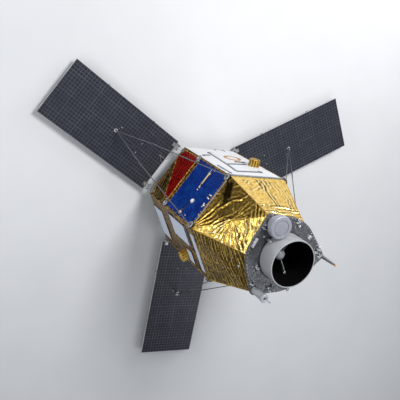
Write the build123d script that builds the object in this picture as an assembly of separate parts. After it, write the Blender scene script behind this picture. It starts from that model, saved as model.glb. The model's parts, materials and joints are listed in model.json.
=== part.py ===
from build123d import *
import os
from math import acos, atan2, cos, degrees, hypot, radians, sin

os.makedirs("parts", exist_ok=True)

# A hexagonal Earth-observation satellite that stands on its launch ring, telescope up.
# Millimetres, +Z up, origin at the centre of the ring's lower face.
# Everything on a side face is drawn on the face that looks along +Y and then turned about Z
# to the face's bearing. "side" runs along the face, positive towards -X of the undrawn face.

# ---------------------------------------------------------------- driving dimensions
BUS_SIDE = 950.0              # side and circumradius of the hexagon over the panels
BUS_HEIGHT = 1606.0
PANEL_T = 10.0                # radiators and white panels stand this far off the foil
DECK_T = 22.0

RING_H = 240.0                # launch ring, lower face to base deck
RING_FLANGE_R = 468.5
RING_WALL_R = 440.0
RING_WALL_T = 10.0
RING_FLANGE_T = 12.0
RING_BOLT_R = 5.25
RING_BOLT_CIRCLE_R = 454.0
RING_BOLT_COUNT = 12

CONE_H = 938.0                # payload cone, bus top to plate back
CONE_FLAT_R = 547.0           # top corners between the lobes

PLATE_T = 40.0
PLATE_R = 555.0
LOBE_NOSE_R = 57.0
# lobe's bearing, its nose's distance from the axis, the distance of the cone's corner under it
LOBES = (
    (60, 615.0, 645.0),
    (180, 615.0, 645.0),
    (300, 665.0, 690.0),
)

TUBE_R = 345.0
TUBE_WALL = 15.0
TUBE_ABOVE_PLATE = 294.0
TUBE_FLOOR_T = 12.0
TUBE_FLOOR_ABOVE_BUS = 105.0
TUBE_CLEARANCE = 2.0

MIRROR_T = 50.0
MIRROR_EDGE_GAP = 8.0
BAFFLE_R = 56.0
BAFFLE_WALL = 4.0
BAFFLE_H = 330.0
HUB_R = 76.0
HUB_SKIRT_H = 60.0
HUB_DOME_H = 45.0
HUB_BELOW_RIM = 385.0         # hub's lower face below the tube's rim
VANE_T = 6.0
VANE_H = 50.0
VANE_LIFT = 5.0               # vanes above the hub's lower face

DRUM_BEARING = 57.0
DRUM_R = 164.0
DRUM_GAP = 8.0                # drum's side to the tube's
DRUM_H = 175.0
DRUM_FOOT_R = 118.0
DRUM_FOOT_H = 82.0
DRUM_CHAMFER = 12.0
DRUM_GROOVE_R = 103.0
DRUM_GROOVE_W = 6.0
DRUM_GROOVE_D = 6.0

BARREL_R = 60.0
BARREL_GAP = 193.0            # barrel's side to the tube's
BARREL_H = 266.0
BARREL_MOUTH_R = 18.0
BARREL_MOUTH_D = 30.0
NUB_R = 11.0
NUB_REACH = 72.0
NUB_BELOW_FRONT = 16.0

MAST_AT = 690.0
MAST_FOOT_R = 30.0
MAST_FOOT_H = 20.0
MAST_H = 322.0
MAST_BASE_R = 24.0
MAST_TIP_R = 12.0
MAST_RINGED_SHARE = 0.8       # of the mast's height that carries rings
MAST_RING_STEP = 24.0
MAST_RING_SWELL = 4.0
MAST_RING_PROFILE = ((0.25, 0.0), (0.5, 1.0), (0.75, 0.0))   # share of a step, share of the swell

WING_LENGTH = 2166.0
WING_OVERHANG = 10.0          # panel's side edge beyond the face's corner
WING_T = 25.0
WING_GAP = 82.0               # bus face to the panel's inner edge
WING_BELOW_BUS = 122.5        # base plane of the bus to the panel's middle plane

HINGE_OUT = 51.5              # hinge line beyond the bus face
HINGE_BELOW_BUS = 85.5        # hinge line below the bus's base plane
HINGE_INSET = 71.0            # hinge's middle in from the face's corner
HINGE_PIN_R = 8.0
HINGE_EYE_R = 22.0
HINGE_EYE_W = 24.0
HINGE_EAR_T = 8.0
HINGE_EAR_R = 18.0
HINGE_EAR_GAP = 1.5
HINGE_EAR_FRONT = (0.88, 0.48)    # where the ear's edges meet its round end, in radii
HINGE_EAR_BACK = (-0.64, -0.77)
HINGE_FOOT_H = 90.0           # bracket's foot up the bus face
HINGE_FOOT_T = 13.0
ARM_BLOCK_W = 60.0
ARM_BLOCK_L = 14.0
ARM_TANGENT = (0.8, 0.6)      # where the arm's edges meet its eye, in radii

STRUT_TOP_BELOW = 33.5        # bus pivot below the bus's top plane
STRUT_OUT = 37.5              # bus pivot beyond the bus face
STRUT_INSET = 45.0            # bus pivot in from the face's corner
KNOB_OUT = 1077.0             # knob pivot beyond the bus face
KNOB_LIFT = 20.8              # knob pivot above the panel's upper surface
KNOB_FOOT_R = 32.0
KNOB_FOOT_T = 3.8
ELBOW_SHARE = 0.3388          # of the strut, from the knob to the elbow
FORK_ELBOW_SIDE = 160.0
ROD_ELBOW_SIDE = 179.0
FORK_ROOT_SIDE = 7.0
STRUT_ROD_R = 7.0
STRUT_EYE_R = 10.0
STRUT_EYE_W = 10.0
STRUT_NECK = 36.0
STRUT_PIN_R = 6.0
STRUT_SLEEVE_R = 9.0
STRUT_SLEEVE_L = 60.0
STRUT_EAR_T = 6.0
STRUT_EAR_GAP = 2.0
PIN_CLEARANCE = 0.05

ROUND_BASE_R = 38.0           # round silver brackets on the wing faces
ROUND_BASE_H = 13.0           # above the panels
NOTCH_CLEARANCE = 2.0
LOWER_BRACKET_UP = 627.0      # above the bus's base plane
LOWER_POST_R = 16.0
LOWER_POST_H = 20.0

RADIATOR_INSET = 33.0         # panel's side edge in from the face's corner
RADIATOR_LOW = 686.0
RADIATOR_TOP_BELOW = 28.0     # below the bus's top plane
PANEL_LOW = 19.0              # white panels, above the base plane
PANEL_TOP_BELOW = 58.0
PANEL_INSET = 29.0            # side edges in from the face's corner
WHITE_FAR_INSET = 9.0         # the white face's panel nearly reaches its far corner
SHIELD_T = 6.0                # red shield
TILE_T = 8.0                  # white tiles
STRIP_T = 14.0
STRIP_INSET = 13.0
STRIP_LOW_BELOW = 54.0        # strip along the front edge of the white face
STRIP_TOP_BELOW = 6.0
TOP_TILE_LOW_BELOW = 119.0

RING_BAND_SIDE = -150.0       # gold ring band on the white panel
RING_BAND_BELOW = 1076.0      # centre below the bus's top plane
RING_BAND_R = 157.0
RING_BAND_W = 38.0
RING_BAND_T = 3.0

ROD_ANTENNA_SIDES = (-418.0, -336.0, -146.0, -68.0)   # thin end, thick part, thin end
ROD_ANTENNA_UP = 1140.0
ROD_ANTENNA_R = 7.0
ROD_ANTENNA_THIN_R = 3.0
ROD_ANTENNA_OFF = 11.0
ROD_CLIP_W = 12.0
ROD_CLIP_LIP = 2.0
SENSOR_SIDE = 147.0           # round sensor on the blue radiator
SENSOR_UP = 1215.0
SENSOR_R = 30.0
SENSOR_H = 16.0

BOX_R = 90.0                  # pleated gold boxes
BOX_H = 114.0
BOX_SIDE = 313.0
BOX_BELOW = 661.0             # below the bus's top plane
BOX_PLEATS = 12
BOX_PLEAT_D = 10.0

DAMPER_R = 9.0                # hinge damper: a short shaft on the hinge line, held off the panel
DAMPER_X = (150.0, 296.0)
DAMPER_TAB_T = 8.0
DAMPER_ROD_R = 4.0
DAMPER_ROD_X = 121.0
DAMPER_ROD_OUT = 125.0        # beyond the panel's inner edge
DAMPER_ROD_LIFT = 0.3         # rod off the panel's upper surface

# Small fittings on the wing's rim: side sign and distance beyond the panel's inner edge
EDGE_FITTINGS = ((-1, 559.0), (1, 559.0), (-1, 1528.0), (1, 1528.0))
FITTING_R = 13.0
FITTING_L = 16.0

OVERLAP = 1.0                 # how far joined shapes and cutters run past each other

# ---------------------------------------------------------------- bearings and levels
WING_BEARINGS = (90, 210, 330)
CONE_LOBE_R = {bearing: corner_r for bearing, nose_at, corner_r in LOBES}
SHIELD_BEARING = 90
WHITE_BEARING = 30
TILE_BEARING = 150
REAR_BEARING = 270

FACE_OUT = BUS_SIDE * cos(radians(30))
CORE_OUT = FACE_OUT - PANEL_T
CORE_R = CORE_OUT / cos(radians(30))
FACE_HALF = BUS_SIDE / 2
CONE_BASE_R = CORE_R
BUS_LOW = RING_H
BUS_TOP = BUS_LOW + BUS_HEIGHT
PLATE_LOW = BUS_TOP + CONE_H
PLATE_TOP = PLATE_LOW + PLATE_T
TUBE_LOW = BUS_TOP + TUBE_FLOOR_ABOVE_BUS
TUBE_RIM = PLATE_TOP + TUBE_ABOVE_PLATE
TUBE_BORE_R = TUBE_R - TUBE_WALL
TUBE_HOLE_R = TUBE_R + TUBE_CLEARANCE
DRUM_AT = TUBE_R + DRUM_GAP + DRUM_R
BARREL_AT = TUBE_R + BARREL_GAP + BARREL_R

WING_WIDTH = 2 * (FACE_HALF + WING_OVERHANG)
WING_IN = FACE_OUT + WING_GAP
WING_MID = BUS_LOW - WING_BELOW_BUS
WING_TOP = WING_MID + WING_T / 2
HINGE_SIDE = FACE_HALF - HINGE_INSET
HINGE_Y = FACE_OUT + HINGE_OUT
HINGE_Z = BUS_LOW - HINGE_BELOW_BUS
KNOB_Y = FACE_OUT + KNOB_OUT
KNOB_Z = WING_TOP + KNOB_LIFT
STRUT_SIDE = FACE_HALF - STRUT_INSET
STRUT_Y = FACE_OUT + STRUT_OUT
STRUT_Z = BUS_TOP - STRUT_TOP_BELOW
ELBOW_Y = KNOB_Y + (STRUT_Y - KNOB_Y) * ELBOW_SHARE
ELBOW_Z = KNOB_Z + (STRUT_Z - KNOB_Z) * ELBOW_SHARE

RADIATOR_SIDE = FACE_HALF - RADIATOR_INSET
RADIATOR_HIGH = BUS_HEIGHT - RADIATOR_TOP_BELOW
PANEL_HIGH = BUS_HEIGHT - PANEL_TOP_BELOW
RING_BAND_UP = BUS_HEIGHT - RING_BAND_BELOW
BOX_UP = BUS_HEIGHT - BOX_BELOW
PANEL_SIDE = FACE_HALF - PANEL_INSET
WHITE_FAR_SIDE = FACE_HALF - WHITE_FAR_INSET
STRIP_SIDE = FACE_HALF - STRIP_INSET
STRIP_LOW = BUS_HEIGHT - STRIP_LOW_BELOW
STRIP_HIGH = BUS_HEIGHT - STRIP_TOP_BELOW
TOP_TILE_LOW = BUS_HEIGHT - TOP_TILE_LOW_BELOW


# ---------------------------------------------------------------- shared helpers
def write(name, solids):
    """Write one node: a solid, or a list of solids that share the node."""
    shape = Compound(children=list(solids)) if isinstance(solids, (list, tuple)) else solids
    export_step(shape, f"parts/{name}.step")


def turned(shape, bearing):
    """Turn a shape drawn on the +Y face to the face at this bearing."""
    return Rot(0, 0, bearing - 90) * shape


def upright(radius, height, low, at=(0, 0)):
    """A cylinder along +Z from the level low."""
    return Pos(at[0], at[1], low + height / 2) * Cylinder(radius, height)


def outward(radius, y_low, y_high, x=0.0, z=0.0):
    """A cylinder along +Y between two distances from the axis."""
    return Pos(x, (y_low + y_high) / 2, z) * Rot(90, 0, 0) * Cylinder(radius, y_high - y_low)


def across(radius, width, x, y, z):
    """A cylinder along X, centred on the point."""
    return Pos(x, y, z) * Rot(0, 90, 0) * Cylinder(radius, width)


def block(x_low, x_high, y_low, y_high, z_low, z_high):
    """A box between its six planes."""
    middle = Pos((x_low + x_high) / 2, (y_low + y_high) / 2, (z_low + z_high) / 2)
    return middle * Box(x_high - x_low, y_high - y_low, z_high - z_low)


def rod(start, end, radius):
    """A round bar between two points."""
    start = Vector(*start)
    run = Vector(*end) - start
    return Solid.make_cylinder(radius, run.length, Plane(start, z_dir=run))


def side_plate(points, x_middle, width):
    """A plate whose (y, z) outline is extruded along X about x_middle."""
    outline = Plane.YZ.offset(x_middle - width / 2) * make_face(Polyline(*points, close=True))
    return extrude(outline, width, dir=(1, 0, 0))


def face_plate(points, y_low, thickness):
    """A plate on the +Y face whose outline is given as (side, height) points."""
    flat = [(-side, y_low, BUS_LOW + height) for side, height in points]
    return extrude(make_face(Polyline(*flat, close=True)), thickness, dir=(0, 1, 0))


def from_top(distance):
    """Height above the base plane of a level given below the bus's top plane."""
    return BUS_HEIGHT - distance


def rectangle(side_low, side_high, low, high):
    """Outline points of a rectangle on a face."""
    return [(side_low, low), (side_high, low), (side_high, high), (side_low, high)]


# ---------------------------------------------------------------- bus
def launch_ring():
    profile = Polyline(
        (RING_WALL_R - RING_WALL_T, 0),
        (RING_FLANGE_R, 0),
        (RING_FLANGE_R, RING_FLANGE_T),
        (RING_WALL_R, RING_FLANGE_T),
        (RING_WALL_R, RING_H - RING_FLANGE_T),
        (RING_FLANGE_R, RING_H - RING_FLANGE_T),
        (RING_FLANGE_R, RING_H),
        (RING_WALL_R - RING_WALL_T, RING_H),
        close=True,
    )
    ring = revolve(Plane.XZ * make_face(profile), Axis.Z)
    for count in range(RING_BOLT_COUNT):
        turn = radians(360 * (count + 0.5) / RING_BOLT_COUNT)
        at = (RING_BOLT_CIRCLE_R * cos(turn), RING_BOLT_CIRCLE_R * sin(turn))
        ring -= upright(RING_BOLT_R, 2 * RING_FLANGE_T, -RING_FLANGE_T / 2, at)
    return ring


def hexagon_prism(radius, low, high):
    corners = [(radius * cos(radians(a)), radius * sin(radians(a))) for a in range(0, 360, 60)]
    outline = Pos(0, 0, low) * make_face(Polyline(*corners, close=True))
    return extrude(outline, high - low, dir=(0, 0, 1))


def bracket_notches():
    """Round notches for the silver brackets at a wing face's four corners."""
    radius = ROUND_BASE_R + NOTCH_CLEARANCE
    levels = (STRUT_Z, BUS_LOW + LOWER_BRACKET_UP)
    return [
        outward(radius, CORE_OUT - OVERLAP, FACE_OUT + OVERLAP, x, z)
        for x in (-STRUT_SIDE, STRUT_SIDE)
        for z in levels
    ]


def radiator_panel():
    outline = rectangle(-RADIATOR_SIDE, RADIATOR_SIDE, RADIATOR_LOW, RADIATOR_HIGH)
    panel = face_plate(outline, CORE_OUT, PANEL_T)
    for notch in bracket_notches():
        panel -= notch
    return panel


# Plates on the faces: name, bearing, thickness, outlines as (side, height above the base plane)
FACE_PLATES = (
    (
        "red_shield",
        SHIELD_BEARING,
        SHIELD_T,
        [[(-432, 97), (-376, 97), (-290, 12), (361, 466), (361, 575), (-380, 575), (-432, 540)]],
    ),
    (
        "white_panel",
        WHITE_BEARING,
        PANEL_T,
        [rectangle(-PANEL_SIDE, WHITE_FAR_SIDE, PANEL_LOW, PANEL_HIGH)],
    ),
    (
        "front_edge_strip",
        WHITE_BEARING,
        STRIP_T,
        [rectangle(-STRIP_SIDE, STRIP_SIDE, STRIP_LOW, STRIP_HIGH)],
    ),
    (
        "white_tiles",
        TILE_BEARING,
        TILE_T,
        [
            rectangle(-240, 312, 19, 352),
            rectangle(-355, 10, 722, from_top(333)),
            rectangle(-325, 342, TOP_TILE_LOW, STRIP_HIGH),
            rectangle(152, 380, from_top(558), from_top(380)),
        ],
    ),
    (
        "rear_white_panel",
        REAR_BEARING,
        PANEL_T,
        [rectangle(-PANEL_SIDE, PANEL_SIDE, PANEL_LOW, PANEL_HIGH)],
    ),
)

def ring_band():
    band = outward(RING_BAND_R, FACE_OUT, FACE_OUT + RING_BAND_T)
    inner = RING_BAND_R - RING_BAND_W
    band -= outward(inner, FACE_OUT - OVERLAP, FACE_OUT + RING_BAND_T + OVERLAP)
    return Pos(-RING_BAND_SIDE, 0, BUS_LOW + RING_BAND_UP) * band


def pleated_box(side, face):
    """A short twelve-sided drum with pleats, standing off the face."""
    points = []
    for count in range(2 * BOX_PLEATS):
        turn = radians(360 * count / (2 * BOX_PLEATS))
        radius = BOX_R if count % 2 == 0 else BOX_R - BOX_PLEAT_D
        points.append((side + radius * cos(turn), BOX_UP + radius * sin(turn)))
    return face_plate(points, face, BOX_H)


def rod_antenna():
    """A stowed rod antenna held on the radiator by two clips."""
    thin_a, thick_a, thick_b, thin_b = ROD_ANTENNA_SIDES
    y = FACE_OUT + ROD_ANTENNA_OFF
    z = BUS_LOW + ROD_ANTENNA_UP
    shape = across(ROD_ANTENNA_R, thick_b - thick_a, -(thick_a + thick_b) / 2, y, z)
    shape += across(ROD_ANTENNA_THIN_R, thin_b - thin_a, -(thin_a + thin_b) / 2, y, z)
    for side in (thick_a, thick_b):
        half = ROD_CLIP_W / 2
        reach = half + ROD_CLIP_LIP
        shape += block(-side - half, -side + half, FACE_OUT, y + half, z - reach, z + reach)
    return shape


def round_sensor():
    base = outward(SENSOR_R, FACE_OUT, FACE_OUT + SENSOR_H, -SENSOR_SIDE, BUS_LOW + SENSOR_UP)
    return chamfer(base.edges().filter_by(GeomType.CIRCLE).sort_by(Axis.Y)[-1], SENSOR_H / 3)


# ---------------------------------------------------------------- payload
def payload_cone():
    """Foil cone: a hexagon below, six corners above at two radii, each side folded once."""
    low = []
    high = []
    for bearing in range(0, 360, 60):
        top_r = CONE_LOBE_R.get(bearing, CONE_FLAT_R)
        turn = radians(bearing)
        low.append((CONE_BASE_R * cos(turn), CONE_BASE_R * sin(turn), BUS_TOP))
        high.append((top_r * cos(turn), top_r * sin(turn), PLATE_LOW))
    faces = [Face(Wire.make_polygon(low)), Face(Wire.make_polygon(high))]
    for count in range(6):
        after = (count + 1) % 6
        lobe_here = count * 60 in CONE_LOBE_R
        ridge = (high[count], low[after]) if lobe_here else (low[count], high[after])
        others = (low[count], high[after]) if lobe_here else (high[count], low[after])
        for other in others:
            faces.append(Face(Wire.make_polygon([ridge[0], ridge[1], other])))
    cone = Solid(Shell(faces))
    return cone - upright(TUBE_HOLE_R, CONE_H, TUBE_LOW)


def plate_outline():
    """A round plate with three rounded lobes, joined by tangent lines."""
    leans = [degrees(acos((PLATE_R - LOBE_NOSE_R) / nose_at)) for bearing, nose_at, corner_r in LOBES]
    parts = []
    for count, (bearing, nose_at, corner_r) in enumerate(LOBES):
        turn = radians(bearing)
        nose = (nose_at * cos(turn), nose_at * sin(turn))
        ends = []
        for sign in (-1, 1):
            tangent = radians(bearing + sign * leans[count])
            away = (cos(tangent), sin(tangent))
            foot = (PLATE_R * away[0], PLATE_R * away[1])
            tip = (nose[0] + LOBE_NOSE_R * away[0], nose[1] + LOBE_NOSE_R * away[1])
            parts.append(Line(foot, tip))
            ends.append((foot, tip))
        crown = (nose_at + LOBE_NOSE_R) / nose_at
        parts.append(ThreePointArc(ends[0][1], (nose[0] * crown, nose[1] * crown), ends[1][1]))
        arc_from = bearing + leans[count]
        arc_to = bearing + 120 - leans[(count + 1) % len(LOBES)]
        middle = radians((arc_from + arc_to) / 2)
        following = radians(arc_to)
        arc_end = (PLATE_R * cos(following), PLATE_R * sin(following))
        arc_middle = (PLATE_R * cos(middle), PLATE_R * sin(middle))
        parts.append(ThreePointArc(ends[1][0], arc_middle, arc_end))
    return make_face(parts)


def instrument_plate():
    plate = extrude(Pos(0, 0, PLATE_LOW) * plate_outline(), PLATE_T, dir=(0, 0, 1))
    return plate - upright(TUBE_HOLE_R, 2 * PLATE_T, PLATE_LOW - PLATE_T / 2)


def telescope_tube():
    tube = upright(TUBE_R, TUBE_RIM - TUBE_LOW, TUBE_LOW)
    return tube - upright(TUBE_BORE_R, TUBE_RIM - TUBE_LOW, TUBE_LOW + TUBE_FLOOR_T)


MIRROR_LOW = TUBE_LOW + TUBE_FLOOR_T
HUB_LOW = TUBE_RIM - HUB_BELOW_RIM


def primary_mirror():
    mirror = upright(TUBE_BORE_R - MIRROR_EDGE_GAP, MIRROR_T, MIRROR_LOW)
    return mirror - upright(BAFFLE_R + TUBE_CLEARANCE, 2 * MIRROR_T, MIRROR_LOW - MIRROR_T / 2)


def central_baffle():
    baffle = upright(BAFFLE_R, BAFFLE_H, MIRROR_LOW)
    return baffle - upright(BAFFLE_R - BAFFLE_WALL, BAFFLE_H, MIRROR_LOW + BAFFLE_WALL)


def secondary_mirror():
    dome_r = (HUB_R**2 + HUB_DOME_H**2) / (2 * HUB_DOME_H)
    skirt_top = HUB_LOW + HUB_SKIRT_H
    half = atan2(HUB_R, dome_r - HUB_DOME_H) / 2
    middle = (dome_r * sin(half), skirt_top + HUB_DOME_H - dome_r + dome_r * cos(half))
    outline = [
        Polyline((0, skirt_top + HUB_DOME_H), (0, HUB_LOW), (HUB_R, HUB_LOW), (HUB_R, skirt_top)),
        ThreePointArc((HUB_R, skirt_top), middle, (0, skirt_top + HUB_DOME_H)),
    ]
    return revolve(Plane.XZ * make_face(outline), Axis.Z)


def spider_vanes():
    vanes = []
    low = HUB_LOW + VANE_LIFT
    for bearing in (0, 120, 240):
        vane = block(HUB_R - OVERLAP, TUBE_R, -VANE_T / 2, VANE_T / 2, low, low + VANE_H)
        vane = vane & (upright(TUBE_BORE_R, 2 * VANE_H, low - VANE_H / 2))
        vane -= upright(HUB_R, 2 * VANE_H, low - VANE_H / 2)
        vanes.append(Rot(0, 0, bearing) * vane)
    return vanes


def capped_drum():
    cap_h = DRUM_H - DRUM_FOOT_H
    drum = Pos(0, 0, DRUM_FOOT_H / 2) * Cylinder(DRUM_R, cap_h)
    drum = chamfer(drum.edges().filter_by(GeomType.CIRCLE).sort_by(Axis.Z)[-1], DRUM_CHAMFER)
    drum += Pos(0, 0, (OVERLAP - cap_h) / 2) * Cylinder(DRUM_FOOT_R, DRUM_FOOT_H + OVERLAP)
    groove = Cylinder(DRUM_GROOVE_R + DRUM_GROOVE_W, DRUM_GROOVE_D)
    groove -= Cylinder(DRUM_GROOVE_R, DRUM_GROOVE_D)
    drum -= Pos(0, 0, DRUM_H / 2 - DRUM_GROOVE_D / 2) * groove
    return Rot(0, 0, DRUM_BEARING) * Pos(DRUM_AT, 0, PLATE_TOP + DRUM_H / 2) * drum


def small_barrel():
    front = PLATE_TOP + BARREL_H
    barrel = upright(BARREL_R, BARREL_H, PLATE_TOP, (-BARREL_AT, 0))
    barrel -= upright(BARREL_MOUTH_R, BARREL_MOUTH_D, front - BARREL_MOUTH_D, (-BARREL_AT, 0))
    z = front - NUB_BELOW_FRONT
    tip = BARREL_R + NUB_REACH
    barrel += rod((-BARREL_AT, -BARREL_R / 2 - BARREL_MOUTH_R / 2, z), (-BARREL_AT, -tip, z), NUB_R)
    return barrel


def mast_foot():
    return Rot(0, 0, 300) * upright(MAST_FOOT_R, MAST_FOOT_H, PLATE_TOP, (MAST_AT, 0))


def tapered_mast():
    """A tapered antenna with a ring at every step up to its plain tip."""
    low = PLATE_TOP + MAST_FOOT_H
    points = [(0, low), (MAST_BASE_R, low)]
    count = int(MAST_RINGED_SHARE * MAST_H / MAST_RING_STEP)
    for step in range(count):
        for share, swell in MAST_RING_PROFILE:
            up = (step + share) * MAST_RING_STEP
            radius = MAST_BASE_R + (MAST_TIP_R - MAST_BASE_R) * up / MAST_H
            points.append((radius + swell * MAST_RING_SWELL, low + up))
    points.append((MAST_TIP_R, low + MAST_H))
    points.append((0, low + MAST_H))
    mast = revolve(Plane.XZ * make_face(Polyline(*points, close=True)), Axis.Z)
    return Rot(0, 0, 300) * Pos(MAST_AT, 0, 0) * mast


# ---------------------------------------------------------------- wing brackets on the bus
def hinge_bracket(x):
    """Foot on the bus face, two ears that reach down to the hinge line, and the pin."""
    foot_top = BUS_LOW + HINGE_FOOT_H
    foot_out = CORE_OUT + HINGE_FOOT_T
    half_gap = HINGE_EYE_W / 2 + HINGE_EAR_GAP
    outline = [
        (CORE_OUT, foot_top),
        (foot_out, foot_top),
        (HINGE_Y + HINGE_EAR_FRONT[0] * HINGE_EAR_R, HINGE_Z + HINGE_EAR_FRONT[1] * HINGE_EAR_R),
        (HINGE_Y + HINGE_EAR_BACK[0] * HINGE_EAR_R, HINGE_Z + HINGE_EAR_BACK[1] * HINGE_EAR_R),
        (CORE_OUT, BUS_LOW + HINGE_FOOT_T),
    ]
    width = half_gap + HINGE_EAR_T
    bracket = block(x - width, x + width, CORE_OUT, foot_out, BUS_LOW + HINGE_FOOT_T, foot_top)
    for sign in (-1, 1):
        ear_x = x + sign * (half_gap + HINGE_EAR_T / 2)
        bracket += side_plate(outline, ear_x, HINGE_EAR_T)
        bracket += across(HINGE_EAR_R, HINGE_EAR_T, ear_x, HINGE_Y, HINGE_Z)
    return bracket + across(HINGE_PIN_R, 2 * width, x, HINGE_Y, HINGE_Z)


def upper_strut_bracket(x):
    """Round base on the bus face with two ears and a pin for the strut rod's eye."""
    base_out = FACE_OUT + ROUND_BASE_H
    half_gap = STRUT_EYE_W / 2 + STRUT_EAR_GAP
    width = half_gap + STRUT_EAR_T
    bracket = outward(ROUND_BASE_R, CORE_OUT, base_out, x, STRUT_Z)
    for sign in (-1, 1):
        ear_x = x + sign * (half_gap + STRUT_EAR_T / 2)
        half = STRUT_EAR_T / 2
        lug = (STRUT_Z - STRUT_EYE_R, STRUT_Z + STRUT_EYE_R)
        bracket += block(ear_x - half, ear_x + half, base_out - OVERLAP, STRUT_Y, *lug)
        bracket += across(STRUT_EYE_R, STRUT_EAR_T, ear_x, STRUT_Y, STRUT_Z)
    return bracket + across(STRUT_PIN_R, 2 * width, x, STRUT_Y, STRUT_Z)


def lower_corner_bracket(x):
    """Round base with a short post that the stowed wing is tied down to."""
    z = BUS_LOW + LOWER_BRACKET_UP
    base_out = FACE_OUT + ROUND_BASE_H
    bracket = outward(ROUND_BASE_R, CORE_OUT, base_out, x, z)
    return bracket + outward(LOWER_POST_R, base_out - OVERLAP, base_out + LOWER_POST_H, x, z)


# ---------------------------------------------------------------- wing
def wing_panel():
    half = WING_WIDTH / 2
    return block(-half, half, WING_IN, WING_IN + WING_LENGTH, WING_MID - WING_T / 2, WING_TOP)


def hinge_arm(x):
    """Eye round the hinge pin and an arm down to a block on the panel's inner edge."""
    low = WING_MID - WING_T / 2
    half = ARM_BLOCK_W / 2
    arm = block(x - half, x + half, WING_IN - ARM_BLOCK_L, WING_IN, low, WING_TOP)
    reach = (ARM_TANGENT[0] * HINGE_EYE_R, ARM_TANGENT[1] * HINGE_EYE_R)
    outline = [
        (HINGE_Y + reach[0], HINGE_Z + reach[1]),
        (WING_IN, WING_TOP),
        (WING_IN, low),
        (WING_IN - ARM_BLOCK_L, low),
        (HINGE_Y - reach[0], HINGE_Z - reach[1]),
    ]
    arm += side_plate(outline, x, HINGE_EYE_W)
    arm += across(HINGE_EYE_R, HINGE_EYE_W, x, HINGE_Y, HINGE_Z)
    return arm - across(HINGE_PIN_R + PIN_CLEARANCE, 2 * HINGE_EYE_W, x, HINGE_Y, HINGE_Z)


def hinge_damper():
    low, high = DAMPER_X
    shape = across(DAMPER_R, high - low, (low + high) / 2, HINGE_Y, HINGE_Z)
    for x in (low + DAMPER_TAB_T, high - DAMPER_TAB_T):
        outline = [
            (HINGE_Y, HINGE_Z + DAMPER_R / 2),
            (WING_IN, WING_TOP),
            (WING_IN, WING_MID),
            (HINGE_Y - DAMPER_R / 2, HINGE_Z - DAMPER_R / 2),
        ]
        shape += side_plate(outline, x, DAMPER_TAB_T)
    rod_z = WING_TOP + DAMPER_ROD_R + DAMPER_ROD_LIFT
    bend = (DAMPER_ROD_X, WING_IN - 2 * DAMPER_ROD_R, rod_z)
    end = (DAMPER_ROD_X, WING_IN + DAMPER_ROD_OUT, rod_z)
    shape += rod((low + DAMPER_TAB_T, HINGE_Y, HINGE_Z), bend, DAMPER_ROD_R)
    shape += rod(bend, end, DAMPER_ROD_R)
    return shape + upright(2 * DAMPER_ROD_R, rod_z + DAMPER_ROD_R - WING_TOP, WING_TOP, end[:2])


def strut_knob():
    """Round foot on the panel, two ears and the pin that the strut fork turns on."""
    half_gap = FORK_ROOT_SIDE + STRUT_EYE_W / 2 + STRUT_EAR_GAP
    knob = upright(KNOB_FOOT_R, KNOB_FOOT_T, WING_TOP, (0, KNOB_Y))
    width = half_gap + STRUT_EAR_T
    for sign in (-1, 1):
        ear_x = sign * (half_gap + STRUT_EAR_T / 2)
        half = STRUT_EAR_T / 2
        lug = (KNOB_Y - STRUT_EYE_R, KNOB_Y + STRUT_EYE_R)
        knob += block(ear_x - half, ear_x + half, *lug, WING_TOP, KNOB_Z)
        knob += across(STRUT_EYE_R, STRUT_EAR_T, ear_x, KNOB_Y, KNOB_Z)
    return knob + across(STRUT_PIN_R, 2 * width, 0, KNOB_Y, KNOB_Z)


def edge_fittings():
    half = WING_WIDTH / 2
    shapes = []
    for sign, along in EDGE_FITTINGS:
        x = sign * (half + FITTING_L / 2)
        shapes.append(across(FITTING_R, FITTING_L, x, WING_IN + along, WING_MID))
    return shapes


def strut_link(x_from, x_to, start, end, sleeve_at_end):
    """One strut half: an eye and a straight neck at each end, and a round bar between the necks."""
    run_y = end[0] - start[0]
    run_z = end[1] - start[1]
    length = hypot(run_y, run_z)
    along = (run_y / length, run_z / length)
    neck_a = (start[0] + STRUT_NECK * along[0], start[1] + STRUT_NECK * along[1])
    neck_b = (end[0] - STRUT_NECK * along[0], end[1] - STRUT_NECK * along[1])
    first = (x_from, *neck_a)
    last = (x_to, *neck_b)
    link = rod(first, last, STRUT_ROD_R)
    share = STRUT_SLEEVE_L / (length - 2 * STRUT_NECK)
    low, high = (1 - share, 1.0) if sleeve_at_end else (0.0, share)
    sleeve = [tuple(a + (b - a) * part for a, b in zip(first, last)) for part in (low, high)]
    link += rod(sleeve[0], sleeve[1], STRUT_SLEEVE_R)
    lift = degrees(atan2(along[1], along[0]))
    for x, eye, neck in ((x_from, start, neck_a), (x_to, end, neck_b)):
        link += across(STRUT_EYE_R, STRUT_EYE_W, x, *eye)
        middle = Pos(x, (eye[0] + neck[0]) / 2, (eye[1] + neck[1]) / 2)
        link += middle * Rot(lift, 0, 0) * Box(STRUT_EYE_W, STRUT_NECK, 2 * STRUT_ROD_R)
    for x, eye in ((x_from, start), (x_to, end)):
        link -= across(STRUT_PIN_R + PIN_CLEARANCE, 3 * STRUT_EYE_W, x, *eye)
    return link


def strut_fork():
    """Knob half: two bars that spread from one root at the knob to the two elbows."""
    knob = (KNOB_Y, KNOB_Z)
    elbow = (ELBOW_Y, ELBOW_Z)
    root_w = 2 * FORK_ROOT_SIDE + STRUT_EYE_W
    fork = across(STRUT_EYE_R, root_w, 0, *knob)
    for sign in (-1, 1):
        fork += strut_link(sign * FORK_ROOT_SIDE, sign * FORK_ELBOW_SIDE, knob, elbow, True)
    return fork - across(STRUT_PIN_R + PIN_CLEARANCE, 2 * root_w, 0, *knob)


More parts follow.
